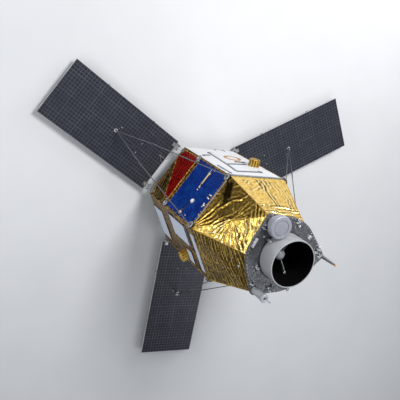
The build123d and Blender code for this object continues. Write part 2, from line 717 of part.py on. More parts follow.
def strut_rods():
    """Bus half: two separate bars from the upper brackets to the elbows."""
    corner = (STRUT_Y, STRUT_Z)
    elbow = (ELBOW_Y, ELBOW_Z)
    return [
        strut_link(sign * STRUT_SIDE, sign * ROD_ELBOW_SIDE, corner, elbow, True)
        for sign in (-1, 1)
    ]


# ---------------------------------------------------------------- write the nodes
write("launch_ring", launch_ring())
write("base_deck", hexagon_prism(CORE_R, BUS_LOW, BUS_LOW + DECK_T))
write("bus_core", hexagon_prism(CORE_R, BUS_LOW + DECK_T, BUS_TOP))

for name, bearing, thickness, outlines in FACE_PLATES:
    write(name, [turned(face_plate(points, CORE_OUT, thickness), bearing) for points in outlines])

write("ring_band", turned(ring_band(), WHITE_BEARING))
write("gold_box_1", turned(pleated_box(-BOX_SIDE, FACE_OUT), WHITE_BEARING))
write("gold_box_2", turned(pleated_box(BOX_SIDE, CORE_OUT), TILE_BEARING))
write("rod_antenna", rod_antenna())
write("round_sensor", round_sensor())

write("payload_cone", payload_cone())
write("instrument_plate", instrument_plate())
write("telescope_tube", telescope_tube())
write("primary_mirror", primary_mirror())
write("central_baffle", central_baffle())
write("secondary_mirror", secondary_mirror())
write("spider_vanes", spider_vanes())
write("capped_drum", capped_drum())
write("small_barrel", small_barrel())
write("mast_foot", mast_foot())
write("tapered_mast", tapered_mast())

for number, bearing in enumerate(WING_BEARINGS, start=1):
    hinges = [turned(hinge_bracket(x), bearing) for x in (-HINGE_SIDE, HINGE_SIDE)]
    uppers = [turned(upper_strut_bracket(x), bearing) for x in (-STRUT_SIDE, STRUT_SIDE)]
    lowers = [turned(lower_corner_bracket(x), bearing) for x in (-STRUT_SIDE, STRUT_SIDE)]
    write(f"hinge_brackets_{number}", hinges)
    write(f"upper_strut_brackets_{number}", uppers)
    write(f"lower_corner_brackets_{number}", lowers)
    write(f"radiator_panel_{number}", turned(radiator_panel(), bearing))
    write(f"wing_panel_{number}", turned(wing_panel(), bearing))
    write(f"hinge_arms_{number}", [turned(hinge_arm(x), bearing) for x in (-HINGE_SIDE, HINGE_SIDE)])
    write(f"hinge_damper_{number}", turned(hinge_damper(), bearing))
    write(f"strut_knob_{number}", turned(strut_knob(), bearing))
    write(f"edge_fittings_{number}", [turned(shape, bearing) for shape in edge_fittings()])
    write(f"strut_fork_{number}", turned(strut_fork(), bearing))
    write(f"strut_rods_{number}", [turned(shape, bearing) for shape in strut_rods()])
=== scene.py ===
"""Earth observation satellite: foil, panels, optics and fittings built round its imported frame.

Metres, +Z up, origin at the centre of the launch ring's lower face. A bus face is addressed by its
bearing; on it "side" runs along the face, "up" is the height over the bus's base plane, and "off"
is the distance from the satellite's axis.
"""
import json

import bpy
import numpy as np
from mathutils import Matrix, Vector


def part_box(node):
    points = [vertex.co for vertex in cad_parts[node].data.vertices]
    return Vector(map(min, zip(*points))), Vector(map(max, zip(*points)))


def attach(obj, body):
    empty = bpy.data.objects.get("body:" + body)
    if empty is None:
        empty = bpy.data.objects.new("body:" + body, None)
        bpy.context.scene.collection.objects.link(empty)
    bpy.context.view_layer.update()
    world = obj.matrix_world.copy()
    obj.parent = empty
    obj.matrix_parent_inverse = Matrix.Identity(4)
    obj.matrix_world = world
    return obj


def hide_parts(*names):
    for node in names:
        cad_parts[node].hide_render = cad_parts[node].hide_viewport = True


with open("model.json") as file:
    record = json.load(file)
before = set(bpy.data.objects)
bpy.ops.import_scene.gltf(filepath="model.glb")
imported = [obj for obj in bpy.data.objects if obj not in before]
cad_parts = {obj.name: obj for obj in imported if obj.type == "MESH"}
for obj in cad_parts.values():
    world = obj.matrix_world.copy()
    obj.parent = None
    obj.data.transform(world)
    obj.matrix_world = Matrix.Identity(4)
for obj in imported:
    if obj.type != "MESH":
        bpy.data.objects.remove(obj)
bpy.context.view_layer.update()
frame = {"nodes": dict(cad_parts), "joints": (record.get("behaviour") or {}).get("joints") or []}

bl_info = {
    "name": "Earth Observation Satellite",
    "version": (1, 0, 0),
    "blender": (4, 5, 0),
    "location": "3D View > Sidebar > Satellite",
    "description": "Foil, radiators, wings, telescope and fittings of a hexagonal satellite",
    "category": "Add Mesh",
}


# ------------------------------------------------------------------ measures read from the frame
def low(node):
    """Lowest corner of a CAD node as an array."""
    return np.array(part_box(node)[0])


def high(node):
    """Highest corner of a CAD node as an array."""
    return np.array(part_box(node)[1])


WING_BEARINGS = (90, 210, 330)
WHITE, TILED, REAR = 30, 150, 270
LOBES = {60: 0.615, 180: 0.615, 300: 0.665}     # the plate's lobes and their noses' distance
CONE_CORNERS = {60: 0.645, 180: 0.645, 300: 0.690}      # the cone's upper corners under them
PLAIN_CORNER = 0.547                                    # its other upper corners
FACE_OUT = high("radiator_panel_1")[1]
CORE_OUT = low("radiator_panel_1")[1]
CORE_R = CORE_OUT / np.cos(np.radians(30))
BASE = low("base_deck")[2]
CORE_LOW, BUS_TOP = low("bus_core")[2], high("bus_core")[2]
BUS_UP = BUS_TOP - BASE
PLATE_LOW, PLATE_TOP = low("instrument_plate")[2], high("instrument_plate")[2]
TUBE_R, TUBE_RIM = high("telescope_tube")[0], high("telescope_tube")[2]
TUBE_LOW = low("telescope_tube")[2]
BORE_R = high("primary_mirror")[0] + 0.008
HUB_LOW = low("secondary_mirror")[2]
WING_HALF, WING_TIP, WING_TOP = high("wing_panel_1")
WING_IN, WING_LOW = low("wing_panel_1")[1:]
WING_UP = WING_TOP - BASE
KNOB_OUT = float((low("strut_knob_1")[1] + high("strut_knob_1")[1]) / 2)
KNOB_UP = 0.1508 - BASE                                 # height of the knob's pin
RADIATOR = (low("radiator_panel_1")[0], high("radiator_panel_1")[0],
            low("radiator_panel_1")[2] - BASE, high("radiator_panel_1")[2] - BASE)
HINGE_AT = next(row["pos_m"] for row in frame["joints"] if row["name"] == "wing_1_hinge")
HINGE_OFF, HINGE_UP = HINGE_AT[1], HINGE_AT[2] - BASE
HINGE_SIDE, BRACKET_SIDE = 0.404, 0.430                 # hinges and round brackets from the middle
UPPER_HUB_UP, LOWER_HUB_UP, HUB_RISE = 1.5725, 0.627, 0.013


# ------------------------------------------------------------------ settings a user would change
def colour_setting(name, description, default):
    """A colour setting."""
    return bpy.props.FloatVectorProperty(name=name, description=description, subtype="COLOR",
                                         size=3, default=default)


class FoilSettings(bpy.types.PropertyGroup):
    """Gold and red insulation foil."""
    gold: colour_setting("Gold", "Colour of the foil's lit folds", (0.95, 0.62, 0.13))
    # The foil's painted shade colour, for its creases and its shaded sides.
    painted_shade_gold: colour_setting("Gold in creases", "Colour of the foil deep in its folds",
                          (0.17, 0.105, 0.022))
    red: colour_setting("Red", "Colour of the red shield's foil", (0.44, 0.002, 0.001))
    fold: bpy.props.FloatProperty(
        name="Fold depth", description="Height of the cone's deepest folds", unit="LENGTH",
        default=0.016, min=0.0, max=0.03)


class FinishSettings(bpy.types.PropertyGroup):
    """Painted finishes."""
    blue: colour_setting("Radiator blue", "Colour of the radiator panels", (0.0008, 0.020, 0.185))
    white: colour_setting("White paint", "Colour of the white panels", (0.66, 0.67, 0.69))
    tile: colour_setting("White tile", "Colour of the white tiles", (0.59, 0.645, 0.77))


class WingSettings(bpy.types.PropertyGroup):
    """Cells of the three wings."""
    across: bpy.props.IntProperty(
        name="Cells across", description="Cells over a wing's width", default=18, min=4, max=40)
    along: bpy.props.IntProperty(
        name="Cells along", description="Cells over a wing's length", default=40, min=8, max=90)
    gap: bpy.props.FloatProperty(
        name="Gap", description="Gap between cells", unit="LENGTH", default=0.0062, min=0.001,
        max=0.02)
    rise: bpy.props.FloatProperty(
        name="Cell thickness", description="Height of a cell over its panel", unit="LENGTH",
        default=0.0009, min=0.0002, max=0.003)
    cell: colour_setting("Cell colour", "Colour of the wings' upper cells", (0.026, 0.029, 0.041))


class StageSettings(bpy.types.PropertyGroup):
    """Floor, lamps and the room's brightness."""
    floor: colour_setting("Floor", "Colour of the studio floor", (0.62, 0.63, 0.65))
    key: bpy.props.FloatProperty(
        name="Key lamp", description="Power of the main lamp", subtype="POWER", default=820.0,
        min=0.0)
    fill: bpy.props.FloatProperty(
        name="Fill lamp", description="Power of the fill lamp", subtype="POWER", default=120.0,
        min=0.0)
    room: bpy.props.FloatProperty(
        name="Room", description="Strength of the room's own light", default=0.26, min=0.0, max=1.0)


# ------------------------------------------------------------------ shapes as whole arrays
TABLE = 256                 # entries along each side of the noise table
EDGED = np.radians(38)      # a smooth piece keeps edges sharper than this


def value_noise(x, y, seed=1):
    """Smooth noise: the four nearest entries of a table of random numbers from -1 to 1, blended
    by the curve t*t*(3 - 2t)."""
    table = np.random.default_rng(seed).uniform(-1, 1, (TABLE, TABLE))
    x, y = np.broadcast_arrays(x, y)
    x0, y0 = np.floor(x).astype(int), np.floor(y).astype(int)
    fx, fy = x - x0, y - y0
    fx, fy = fx * fx * (3 - 2 * fx), fy * fy * (3 - 2 * fy)
    x0, y0, x1, y1 = x0 % TABLE, y0 % TABLE, (x0 + 1) % TABLE, (y0 + 1) % TABLE
    near = table[y0, x0] * (1 - fx) + table[y0, x1] * fx
    far = table[y1, x0] * (1 - fx) + table[y1, x1] * fx
    return near * (1 - fy) + far * fy


def layered_noise(x, y, seed=1, layers=3):
    """Smooth noise with layers of half the size and half the height, from about -1 to 1."""
    total = sum(value_noise(x * 2 ** k, y * 2 ** k, seed + k) * 0.5 ** k for k in range(layers))
    return total / (2 - 0.5 ** (layers - 1))


def crumple(x, y, size, seed, layers=4):
    """Sharp creased foil: one minus the absolute value of noise, whose crests are where noise is
    zero, summed over layers of half the size; x and y are first bent by slow noise."""
    bend = 0.35 * size
    x = x + bend * layered_noise(x / size * 0.7, y / size * 0.7, seed + 40, 2)
    y = y + bend * layered_noise(x / size * 0.7 + 31, y / size * 0.7, seed + 50, 2)
    total, weight, weights = 0.0, 1.0, 0.0
    for k in range(layers):
        ridge = 1 - 1.6 * np.abs(value_noise(x / size * 2 ** k, y / size * 2 ** k, seed + k))
        total, weights, weight = total + weight * ridge, weights + weight, weight * 0.55
    return total / weights * 2 - 0.7


def pleats(phase, seed, across, sharp=1.6):
    """Parallel folds with sharp crests: the triangle wave of phase raised to a power, with each
    fold's height drawn from noise along it, so that folds start and stop."""
    wave = 1 - np.abs(2 * (phase - np.floor(phase)) - 1)
    strength = np.clip(0.55 + 0.9 * value_noise(np.floor(phase) * 3.7, across, seed), 0, 1.2)
    return wave ** sharp * strength


def circle_turns(count):
    """Even directions round a circle, in radians."""
    return np.linspace(0, 2 * np.pi, count, endpoint=False)


def grid_quads(rows, columns, round_columns=False):
    """Corner numbers of a grid's quads, row by row; round_columns joins last to first."""
    r, c = np.arange(rows - 1), np.arange(columns if round_columns else columns - 1)
    r, c = np.meshgrid(r, c, indexing="ij")
    beside = (c + 1) % columns
    return np.stack([r * columns + c, r * columns + beside,
                     (r + 1) * columns + beside, (r + 1) * columns + c], -1).reshape(-1, 4)


def ends_of(rows, columns):
    """Triangles that close a tube of rows x columns with one centre point at each end; the two
    centres are stored after the grid."""
    c = np.arange(columns)
    beside = (c + 1) % columns
    first, top = rows * columns, (rows - 1) * columns
    return np.concatenate([np.stack([np.full(columns, first), beside, c], -1),
                           np.stack([np.full(columns, first + 1), top + c, top + beside], -1)])


def softened(profile, size, steps=4):
    """A profile whose inner corners become short curves: the quadratic blend from a point before
    the corner to one after it, each at most `size` away and inside its own run."""
    p = np.asarray(profile, float)
    back, on = p[:-2] - p[1:-1], p[2:] - p[1:-1]
    back_l = np.linalg.norm(back, axis=1, keepdims=True)
    on_l = np.linalg.norm(on, axis=1, keepdims=True)
    start = p[1:-1] + back / back_l * np.minimum(size, 0.45 * back_l)
    end = p[1:-1] + on / on_l * np.minimum(size, 0.45 * on_l)
    t = np.linspace(0, 1, steps)[None, :, None]
    curve = ((1 - t) ** 2 * start[:, None] + 2 * t * (1 - t) * p[1:-1][:, None]
             + t * t * end[:, None])
    return np.concatenate([p[:1], curve.reshape(-1, 2), p[-1:]])


def revolved(profile, segments=48, closed=False):
    """A profile of (radius, height) turned about Z. An open profile ends on the axis at both ends
    and is closed by fans; a closed one is a ring whose last point meets its first. It runs
    outwards below, up the outside and inwards above, so that faces point out."""
    profile = np.asarray(profile, float)
    turn = circle_turns(segments)
    if closed:
        profile = np.concatenate([profile, profile[:1]])
    ring = profile if closed else profile[1:-1]
    points = np.stack([ring[:, :1] * np.cos(turn), ring[:, :1] * np.sin(turn),
                       np.broadcast_to(ring[:, 1:], (len(ring), segments))], -1).reshape(-1, 3)
    quads = grid_quads(len(ring), segments, True)
    if closed:
        last = (len(ring) - 1) * segments
        return points[:-segments], np.where(quads >= last, quads - last, quads), ()
    poles = np.array([[0, 0, profile[0, 1]], [0, 0, profile[-1, 1]]])
    return np.concatenate([points, poles]), quads, ends_of(len(ring), segments)


def rounded_block(size, power=0.25):
    """A box with rounded edges: the superellipsoid whose coordinates are signed powers of cosines
    and sines, closed by fans at its poles."""
    around, rows = 16, 7
    v = np.linspace(-np.pi / 2, np.pi / 2, rows + 2)[1:-1]
    v, u = np.meshgrid(v, circle_turns(around), indexing="ij")
    waves = np.stack([np.cos(v), np.sin(v), np.cos(u), np.sin(u)])
    cos_v, sin_v, cos_u, sin_u = np.sign(waves) * np.abs(waves) ** power
    points = np.stack([cos_v * cos_u, cos_v * sin_u, sin_v], -1).reshape(-1, 3)
    points = np.concatenate([points, [[0, 0, -1.0], [0, 0, 1.0]]]) * np.asarray(size) / 2
    return points, grid_quads(rows, around, True), ends_of(rows, around)


def axes_of(direction):
    """A turn whose third column is the direction, the others square to it."""
    z = np.asarray(direction, float)
    z = z / np.linalg.norm(z)
    x = np.cross([0, 0, 1.0], z) if abs(z[2]) < 0.9 else np.cross([0, 1.0, 0], z)
    x = x / np.linalg.norm(x)
    return np.stack([x, np.cross(z, x), z], 1)


def face_axes(bearing):
    """Outward and sideways directions of the bus face at a bearing."""
    b = np.radians(bearing)
    return np.array([np.cos(b), np.sin(b), 0]), np.array([-np.sin(b), np.cos(b), 0])


def on_face(bearing, side, off, up):
    """Points on a bus face from side, distance off the axis and height over the base plane."""
    outward, sideways = face_axes(bearing)
    side, off, up = np.broadcast_arrays(side, off, up)
    points = off[..., None] * outward + side[..., None] * sideways
    points[..., 2] += up + BASE
    return points


def resampled(path, step):
    """A polyline's points at even steps: its coordinates interpolated over its running length."""
    path = np.asarray(path, float)
    run = np.concatenate([[0], np.cumsum(np.linalg.norm(np.diff(path, axis=0), axis=1))])
    at = np.linspace(0, run[-1], max(2, int(np.ceil(run[-1] / step)) + 1))
    return np.stack([np.interp(at, run, path[:, k]) for k in range(path.shape[1])], -1), at


class Shape:
    """Points and faces gathered before they become one mesh, with one number at each point."""

    def __init__(self):
        self.points, self.quads, self.triangles, self.values, self.count = [], [], [], [], 0

    def add(self, points, quads=(), triangles=(), value=0.5):
        """Add a surface; its faces count from its own first point."""
        points = np.asarray(points, float).reshape(-1, 3)
        self.quads.append(np.asarray(quads, int).reshape(-1, 4) + self.count)
        self.triangles.append(np.asarray(triangles, int).reshape(-1, 3) + self.count)
        self.points.append(points)
        self.values.append(np.broadcast_to(np.ravel(value), len(points)))
        self.count += len(points)
        return self

    def turned(self, profile, segments, at=(0, 0, 0), direction=(0, 0, 1), closed=False):
        """Add a profile turned about its axis, at a place and along a direction."""
        points, quads, ends = revolved(profile, segments, closed)
        return self.add(points @ axes_of(direction).T + np.asarray(at), quads, ends)

    def block(self, size, at, along, power=0.25, value=0.5):
        """Add a rounded block whose length runs along a level direction."""
        points, quads, ends = rounded_block(size, power)
        axes = np.array([[along[0], along[1], 0], [-along[1], along[0], 0], [0, 0, 1]])
        return self.add(points @ axes + at, quads, ends, value)

    def face_block(self, bearing, size, side, off, up, power, value=0.5):
        """Add a rounded block on a bus face, its sizes sideways, upwards and outwards."""
        points, quads, ends = rounded_block(size, power)
        x, y, z = points.T
        return self.add(on_face(bearing, side + x, off + z, up + y), quads, ends, value)

    def bar(self, path, radius, sides, up=(0, 0, 1), value=0.5):
        """Add a round bar along a path: a circle carried square to the path's direction, closed by
        a fan at each end. The radius is one number, or one for each of the path's points."""
        path = np.asarray(path, float)
        along = np.gradient(path, axis=0)
        along /= np.linalg.norm(along, axis=1, keepdims=True)
        first = np.cross(along, np.asarray(up, float))
        first /= np.linalg.norm(first, axis=1, keepdims=True)
        second = np.cross(along, first)
        turn = circle_turns(sides)[:, None]
        size = np.broadcast_to(radius, (len(path),))[:, None, None]
        circle = first[:, None] * np.cos(turn) + second[:, None] * np.sin(turn)
        points = np.concatenate([(path[:, None] + size * circle).reshape(-1, 3),
                                 path[:1], path[-1:]])
        return self.add(points, grid_quads(len(path), sides, True), ends_of(len(path), sides),
                        value)

    def strip(self, bearing, off, path, width, rise, value=0.5, step=0.02, columns=5, wrinkle=0.0,
              seed=3):
        """Lay a strip on a bus face along a path of (side, up): its cross-section is the arch
        1 - s^4 of the rise, its edges sink a little, and noise wrinkles its crest."""
        line, run = resampled(path, step)
        along = np.gradient(line, axis=0)
        along /= np.linalg.norm(along, axis=1, keepdims=True)
        across = np.stack([-along[:, 1], along[:, 0]], -1)
        s = np.linspace(-1, 1, columns)
        wavy = 1 + 0.25 * wrinkle * layered_noise(run / 0.05, 0.3, seed, 2)
        flat = line[:, None] + across[:, None] * (s[:, None] * width / 2) * wavy[:, None, None]
        crest = 1 + wrinkle * (crumple(run[:, None], s * width / 2, 0.03, seed, 3) - 0.2)
        lift = rise * (1 - s ** 4) * np.clip(crest, 0.15, 1.9) - 0.001 * (np.abs(s) > 0.99)
        # The stored number is lighter where the strip rises and darker where it sinks: painted
        # highlight and painted shade.
        value = value + 0.45 * wrinkle * (lift / rise - lift.mean() / rise)
        return self.add(on_face(bearing, flat[..., 0], off + lift, flat[..., 1]),
                        grid_quads(len(line), columns)[:, ::-1], value=value)

    def screws(self, radius, rise, places, direction, value=0.5):
        """Add low domed heads of ten sides at many places, by adding the places to one head."""
        points, quads, triangles = revolved(
            [(0, -0.001), (radius, -0.001), (radius, 0.6 * rise), (0.7 * radius, rise), (0, rise)],
            10)
        places = np.asarray(places, float).reshape(-1, 3)
        jump = (np.arange(len(places)) * len(points))[:, None, None]
        return self.add(places[:, None] + points @ axes_of(direction).T, quads + jump,
                        triangles + jump, value)

    def piece(self, name, slot, finish=None, replaces=(), body="bus", smooth=EDGED, uv=None):
        """Make the mesh and its object, and let it ride on its body. Its finish has the slot's
        name unless another is given."""
        points = np.concatenate(self.points)
        quads, triangles = np.concatenate(self.quads), np.concatenate(self.triangles)
        corners = np.concatenate([quads.ravel(), triangles.ravel()]).astype(np.int32)
        starts = np.concatenate([np.arange(len(quads)) * 4,
                                 len(quads) * 4 + np.arange(len(triangles)) * 3]).astype(np.int32)
        mesh = bpy.data.meshes.new(name)
        mesh.vertices.add(len(points))
        mesh.vertices.foreach_set("co", points.astype(np.float32).ravel())
        mesh.loops.add(len(corners))
        mesh.loops.foreach_set("vertex_index", corners)
        mesh.polygons.add(len(starts))
        mesh.polygons.foreach_set("loop_start", starts)
        mesh.polygons.foreach_set("use_smooth", np.full(len(starts), bool(smooth)))
        if uv is not None:
            flat = mesh.uv_layers.new(name="flat")
            flat.data.foreach_set("uv", uv[corners].astype(np.float32).ravel())
        fold = mesh.attributes.new("fold", "FLOAT", "POINT")
        fold.data.foreach_set("value", np.concatenate(self.values).astype(np.float32))
        mesh.update(calc_edges=True)
        mesh.validate()
        if smooth and smooth is not True:
            mesh.set_sharp_from_angle(angle=float(smooth))
        made = bpy.data.objects.new(name, mesh)
        bpy.context.scene.collection.objects.link(made)
        made.data.materials.append(FINISHES[finish or slot])
        if replaces:
            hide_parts(*replaces)
        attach(made, body)
        return made


# ------------------------------------------------------------------ finishes
FINISHES = {}


class Finish:
    """A procedural material: a Principled shader with helpers that add and link its nodes."""

    def __init__(self, name, **sockets):
        self.made = FINISHES[name] = bpy.data.materials.new(name)
        self.made.use_nodes = True
        self.tree = self.made.node_tree
        self.tree.nodes.clear()
        output = self.add("ShaderNodeOutputMaterial")
        self.shader = self.add("ShaderNodeBsdfPrincipled")
        self.link(self.shader.outputs[0], output.inputs["Surface"])
        for socket, value in sockets.items():
            self.shader.inputs[socket.replace("_", " ")].default_value = value
        self.where = self.add("ShaderNodeTexCoord").outputs["Object"]

    def add(self, kind, **values):
        """Add a node and set its own properties."""
        node = self.tree.nodes.new(kind)
        for key, value in values.items():
            setattr(node, key, value)
        return node

    def link(self, source, target):
        """Link an output to an input, or set the input to a plain value."""
        if isinstance(source, bpy.types.NodeSocket):
            self.tree.links.new(source, target)
        else:
            target.default_value = source

    def noise(self, scale, detail=3.0, rough=0.55, twist=0.0, vector=None):
        """Noise as a number from 0 to 1."""
        node = self.add("ShaderNodeTexNoise")
        self.link(vector or self.where, node.inputs["Vector"])
        for socket, value in (("Scale", scale), ("Detail", detail), ("Roughness", rough),
                              ("Distortion", twist)):
            node.inputs[socket].default_value = value
        return node.outputs["Fac"]

    def cells(self, scale, feature="F1"):
        """Distances in a pattern of random cells."""
        node = self.add("ShaderNodeTexVoronoi", feature=feature)
        self.link(self.where, node.inputs["Vector"])
        node.inputs["Scale"].default_value = scale
        return node.outputs["Distance"]

    def stored(self, name):
        """A number stored at the surface's points."""
        return self.add("ShaderNodeAttribute", attribute_name=name).outputs["Fac"]

    def sum(self, *parts):
        """Weighted sum of (number, weight) pairs."""
        total = 0.0
        for source, weight in parts:
            node = self.add("ShaderNodeMath", operation="MULTIPLY_ADD")
            for part, socket in zip((source, weight, total), node.inputs):
                self.link(part, socket)
            total = node.outputs[0]
        return total

    def ramp(self, source, *stops):
        """A colour ramp with stops of (position, colour)."""
        node = self.add("ShaderNodeValToRGB")
        self.link(source, node.inputs[0])
        elements = node.color_ramp.elements
        while len(elements) < len(stops):
            elements.new(0.5)
        for element, (position, colour) in zip(elements, stops):
            element.position = position
            element.color = (*colour, 1.0)
        return node.outputs[0]

    def span(self, source, low_in, high_in, low_out, high_out):
        """A number moved from one range to another."""
        node = self.add("ShaderNodeMapRange")
        for part, socket in zip((source, low_in, high_in, low_out, high_out), node.inputs):
            self.link(part, socket)
        return node.outputs[0]

    def blend(self, share, first, second):
        """Two colours mixed by a number."""
        node = self.add("ShaderNodeMix", data_type="RGBA")
        self.link(share, node.inputs["Factor"])
        for part, socket in ((first, node.inputs[6]), (second, node.inputs[7])):
            self.link(part if isinstance(part, bpy.types.NodeSocket) else (*part, 1.0), socket)
        return node.outputs[2]

    def bump(self, height, depth, strength=1.0, under=None):
        """A bump of a depth in metres, over another bump if one is given."""
        node = self.add("ShaderNodeBump")
        node.inputs["Strength"].default_value = strength
        node.inputs["Distance"].default_value = depth
        self.link(height, node.inputs["Height"])
        if under is not None:
            self.link(under, node.inputs["Normal"])
        self.link(node.outputs[0], self.shader.inputs["Normal"])
        return node.outputs[0]

    def colour(self, source):
        """Feed the shader's base colour."""
        self.link(source, self.shader.inputs["Base Color"])

    def gloss(self, source, smooth, rough):
        """Feed the shader's roughness from a number between 0.25 and 0.75."""
        self.link(self.span(source, 0.25, 0.75, smooth, rough), self.shader.inputs["Roughness"])


def shaded(colour, share):
    """A colour made darker or lighter by a share."""
    return tuple(min(1.0, part * share) for part in colour)


# name, colour, light and dark share, grain scale, metallic, smoothest, roughest, bump in metres
PLAIN_FINISHES = (
    ("ring_metal", (0.55, 0.56, 0.58), 1.12, 0.80, 30, 0.90, 0.28, 0.48, 0.0004),
    ("deck_metal", (0.34, 0.33, 0.31), 1.15, 0.75, 22, 0.75, 0.35, 0.55, 0.0008),
    ("edge_metal", (0.56, 0.57, 0.60), 1.15, 0.62, 26, 0.55, 0.30, 0.52, 0.0010),
    ("bracket_silver", (0.38, 0.39, 0.41), 1.45, 0.40, 42, 0.75, 0.22, 0.46, 0.0010),
    ("arm_silver", (0.42, 0.43, 0.45), 1.15, 0.62, 40, 0.70, 0.25, 0.46, 0.0008),
    ("damper_silver", (0.46, 0.47, 0.49), 1.12, 0.65, 45, 0.70, 0.24, 0.44, 0.0006),
    ("strut_metal", (0.13, 0.135, 0.15), 1.15, 0.75, 35, 0.60, 0.30, 0.48, 0.0004),
    ("hub_grey", (0.44, 0.45, 0.48), 1.06, 0.90, 16, 0.10, 0.38, 0.52, 0.0004),
    ("vane_grey", (0.62, 0.65, 0.66), 1.10, 0.85, 24, 0.20, 0.34, 0.50, 0.0004),
    ("drum_grey", (0.28, 0.29, 0.33), 1.06, 0.90, 12, 0.15, 0.34, 0.48, 0.0003),
    ("barrel_grey", (0.36, 0.37, 0.40), 1.10, 0.80, 18, 0.30, 0.32, 0.50, 0.0006),
    ("mast_grey", (0.20, 0.205, 0.22), 1.35, 0.50, 34, 0.45, 0.26, 0.44, 0.0005),
    ("sensor_white", (0.70, 0.70, 0.72), 1.06, 0.86, 30, 0.05, 0.35, 0.50, 0.0004),
    ("baffle_black", (0.0016, 0.0016, 0.0018), 1.6, 0.70, 28, 0.00, 0.85, 0.98, 0.0006),
    ("fitting_light", (0.60, 0.61, 0.64), 1.25, 0.50, 42, 0.55, 0.22, 0.42, 0.0008),
    ("rail_grey", (0.22, 0.23, 0.25), 1.20, 0.70, 30, 0.40, 0.34, 0.52, 0.0006),
    ("fitting_dark", (0.035, 0.036, 0.040), 1.8, 0.60, 40, 0.30, 0.38, 0.60, 0.0008),
    ("tip_gold", (0.75, 0.42, 0.09), 1.15, 0.75, 40, 0.85, 0.25, 0.42, 0.0005),
)


def plain_finish(name, colour, light, dark, grain, metal, smooth, rough, depth):
    """Metal or paint: two shades of one colour mixed by noise, which also sets gloss and bump."""
    made = Finish(name, Metallic=metal, Specular_IOR_Level=0.05 if max(colour) < 0.01 else 0.5)
    broad, fine = made.noise(grain, 3.0), made.noise(grain * 7, 2.0)
    both = made.sum((broad, 0.65), (fine, 0.35))
    made.colour(made.ramp(both, (0.30, shaded(colour, dark)), (0.52, colour),
                          (0.72, shaded(colour, light))))
    made.gloss(broad, smooth, rough)
    made.bump(both, depth)


def gold_foil(name, gold, painted_shade_gold, grain=1.0, smooth=0.17):
    """Crinkled gold film: the stored fold number runs from creases to crests and picks the colour,
    and noise at two sizes wrinkles it."""
    made = Finish(name, Metallic=1.0)
    large = made.noise(17 * grain, 3.0, 0.55, 0.8)
    small = made.cells(60 * grain, "DISTANCE_TO_EDGE")
    fold = made.sum((made.stored("fold"), 0.95), (large, 0.22), (small, 0.06))
    # The stored fold number carries painted shade in creases and on shaded sides, and painted
    # highlights on crests up to the palest stop.
    made.colour(made.ramp(
        fold, (0.24, shaded(painted_shade_gold, 0.16)), (0.44, painted_shade_gold),
        (0.58, tuple(0.5 * a + 0.5 * b for a, b in zip(gold, painted_shade_gold))),
        (0.76, gold), (0.98, (1.0, 0.84, 0.40))))
    made.gloss(large, smooth, smooth + 0.18)
    first = made.bump(large, 0.006, 0.40)
    made.bump(small, 0.0014, 0.35, first)


def red_foil(name, red):
    """Red film: the stored fold number and streaks pick dark creases or bright crests."""
    made = Finish(name, Metallic=0.75, Specular_IOR_Level=0.10)
    streaks = made.noise(30, 3.0, 0.5, 0.8)
    fold = made.sum((made.stored("fold"), 1.0), (streaks, 0.20))
    # Dark creases are painted shade and bright crests painted highlights, picked by the stored fold
    # number.
    made.colour(made.ramp(fold, (0.24, shaded(red, 0.05)), (0.46, shaded(red, 0.45)),
                          (0.68, red), (0.92, (min(1.0, red[0] * 2.0), 0.020, 0.004))))
    made.gloss(streaks, 0.24, 0.42)
    made.bump(streaks, 0.005, 0.5)


def blue_paint(name, blue):
    """Radiator paint with a fine light and dark speckle and shallow waves."""
    made = Finish(name, Metallic=0.10, Specular_IOR_Level=0.12)
    speckle, cloud, flecks = made.noise(75, 3.0, 0.80), made.noise(14, 3.0), made.cells(120)
    both = made.sum((speckle, 0.62), (cloud, 0.26), (flecks, 0.16))
    brightest = (blue[0] * 8, blue[1] * 5.0, blue[2] * 1.8)
    made.colour(made.ramp(both, (0.38, shaded(blue, 0.30)), (0.48, shaded(blue, 0.85)),
                          (0.56, shaded(blue, 1.25)), (0.64, brightest)))
    made.gloss(cloud, 0.34, 0.52)
    made.bump(speckle, 0.0010, 0.5)


def pale_paint(name, colour, depth=0.0006):
    """White paint: faint clouds, a few darker specks and shallow dents."""
    made = Finish(name, Metallic=0.0)
    cloud, fine = made.noise(7, 4.0, 0.6), made.noise(90, 3.0)
    both = made.sum((cloud, 0.6), (fine, 0.4))
    made.colour(made.ramp(both, (0.26, shaded(colour, 0.80)), (0.44, shaded(colour, 0.97)),
                          (0.60, colour), (0.80, shaded(colour, 1.05))))
    made.gloss(cloud, 0.42, 0.60)
    made.bump(both, depth)


def plate_film(name):
    """Crumpled silver film over the instrument plate, speckled light and dark."""
    made = Finish(name, Metallic=0.75)
    speckle, cells = made.noise(70, 4.0, 0.75, 0.8), made.cells(42, "DISTANCE_TO_EDGE")
    # The stored fold number adds a little painted shade in creases and painted highlight on crests.
    both = made.sum((speckle, 0.85), (cells, 0.20), (made.stored("fold"), 0.15))
    made.colour(made.ramp(both, (0.36, (0.022, 0.023, 0.026)), (0.50, (0.105, 0.110, 0.120)),
                          (0.64, (0.175, 0.180, 0.192)), (0.84, (0.40, 0.41, 0.43))))
    made.gloss(speckle, 0.28, 0.50)
    made.bump(both, 0.004, 0.6)


def tube_paint(name):
    """Grey-white tube paint: soft broad shading and hair-fine grain."""
    made = Finish(name, Metallic=0.10)
    cloud, fine = made.noise(5, 3.0), made.noise(120, 2.0)
    both = made.sum((cloud, 0.7), (fine, 0.3))
    made.colour(made.ramp(both, (0.30, (0.30, 0.31, 0.33)), (0.55, (0.36, 0.37, 0.39)),
                          (0.80, (0.41, 0.42, 0.44))))
    made.gloss(cloud, 0.32, 0.48)
    made.bump(fine, 0.0003)


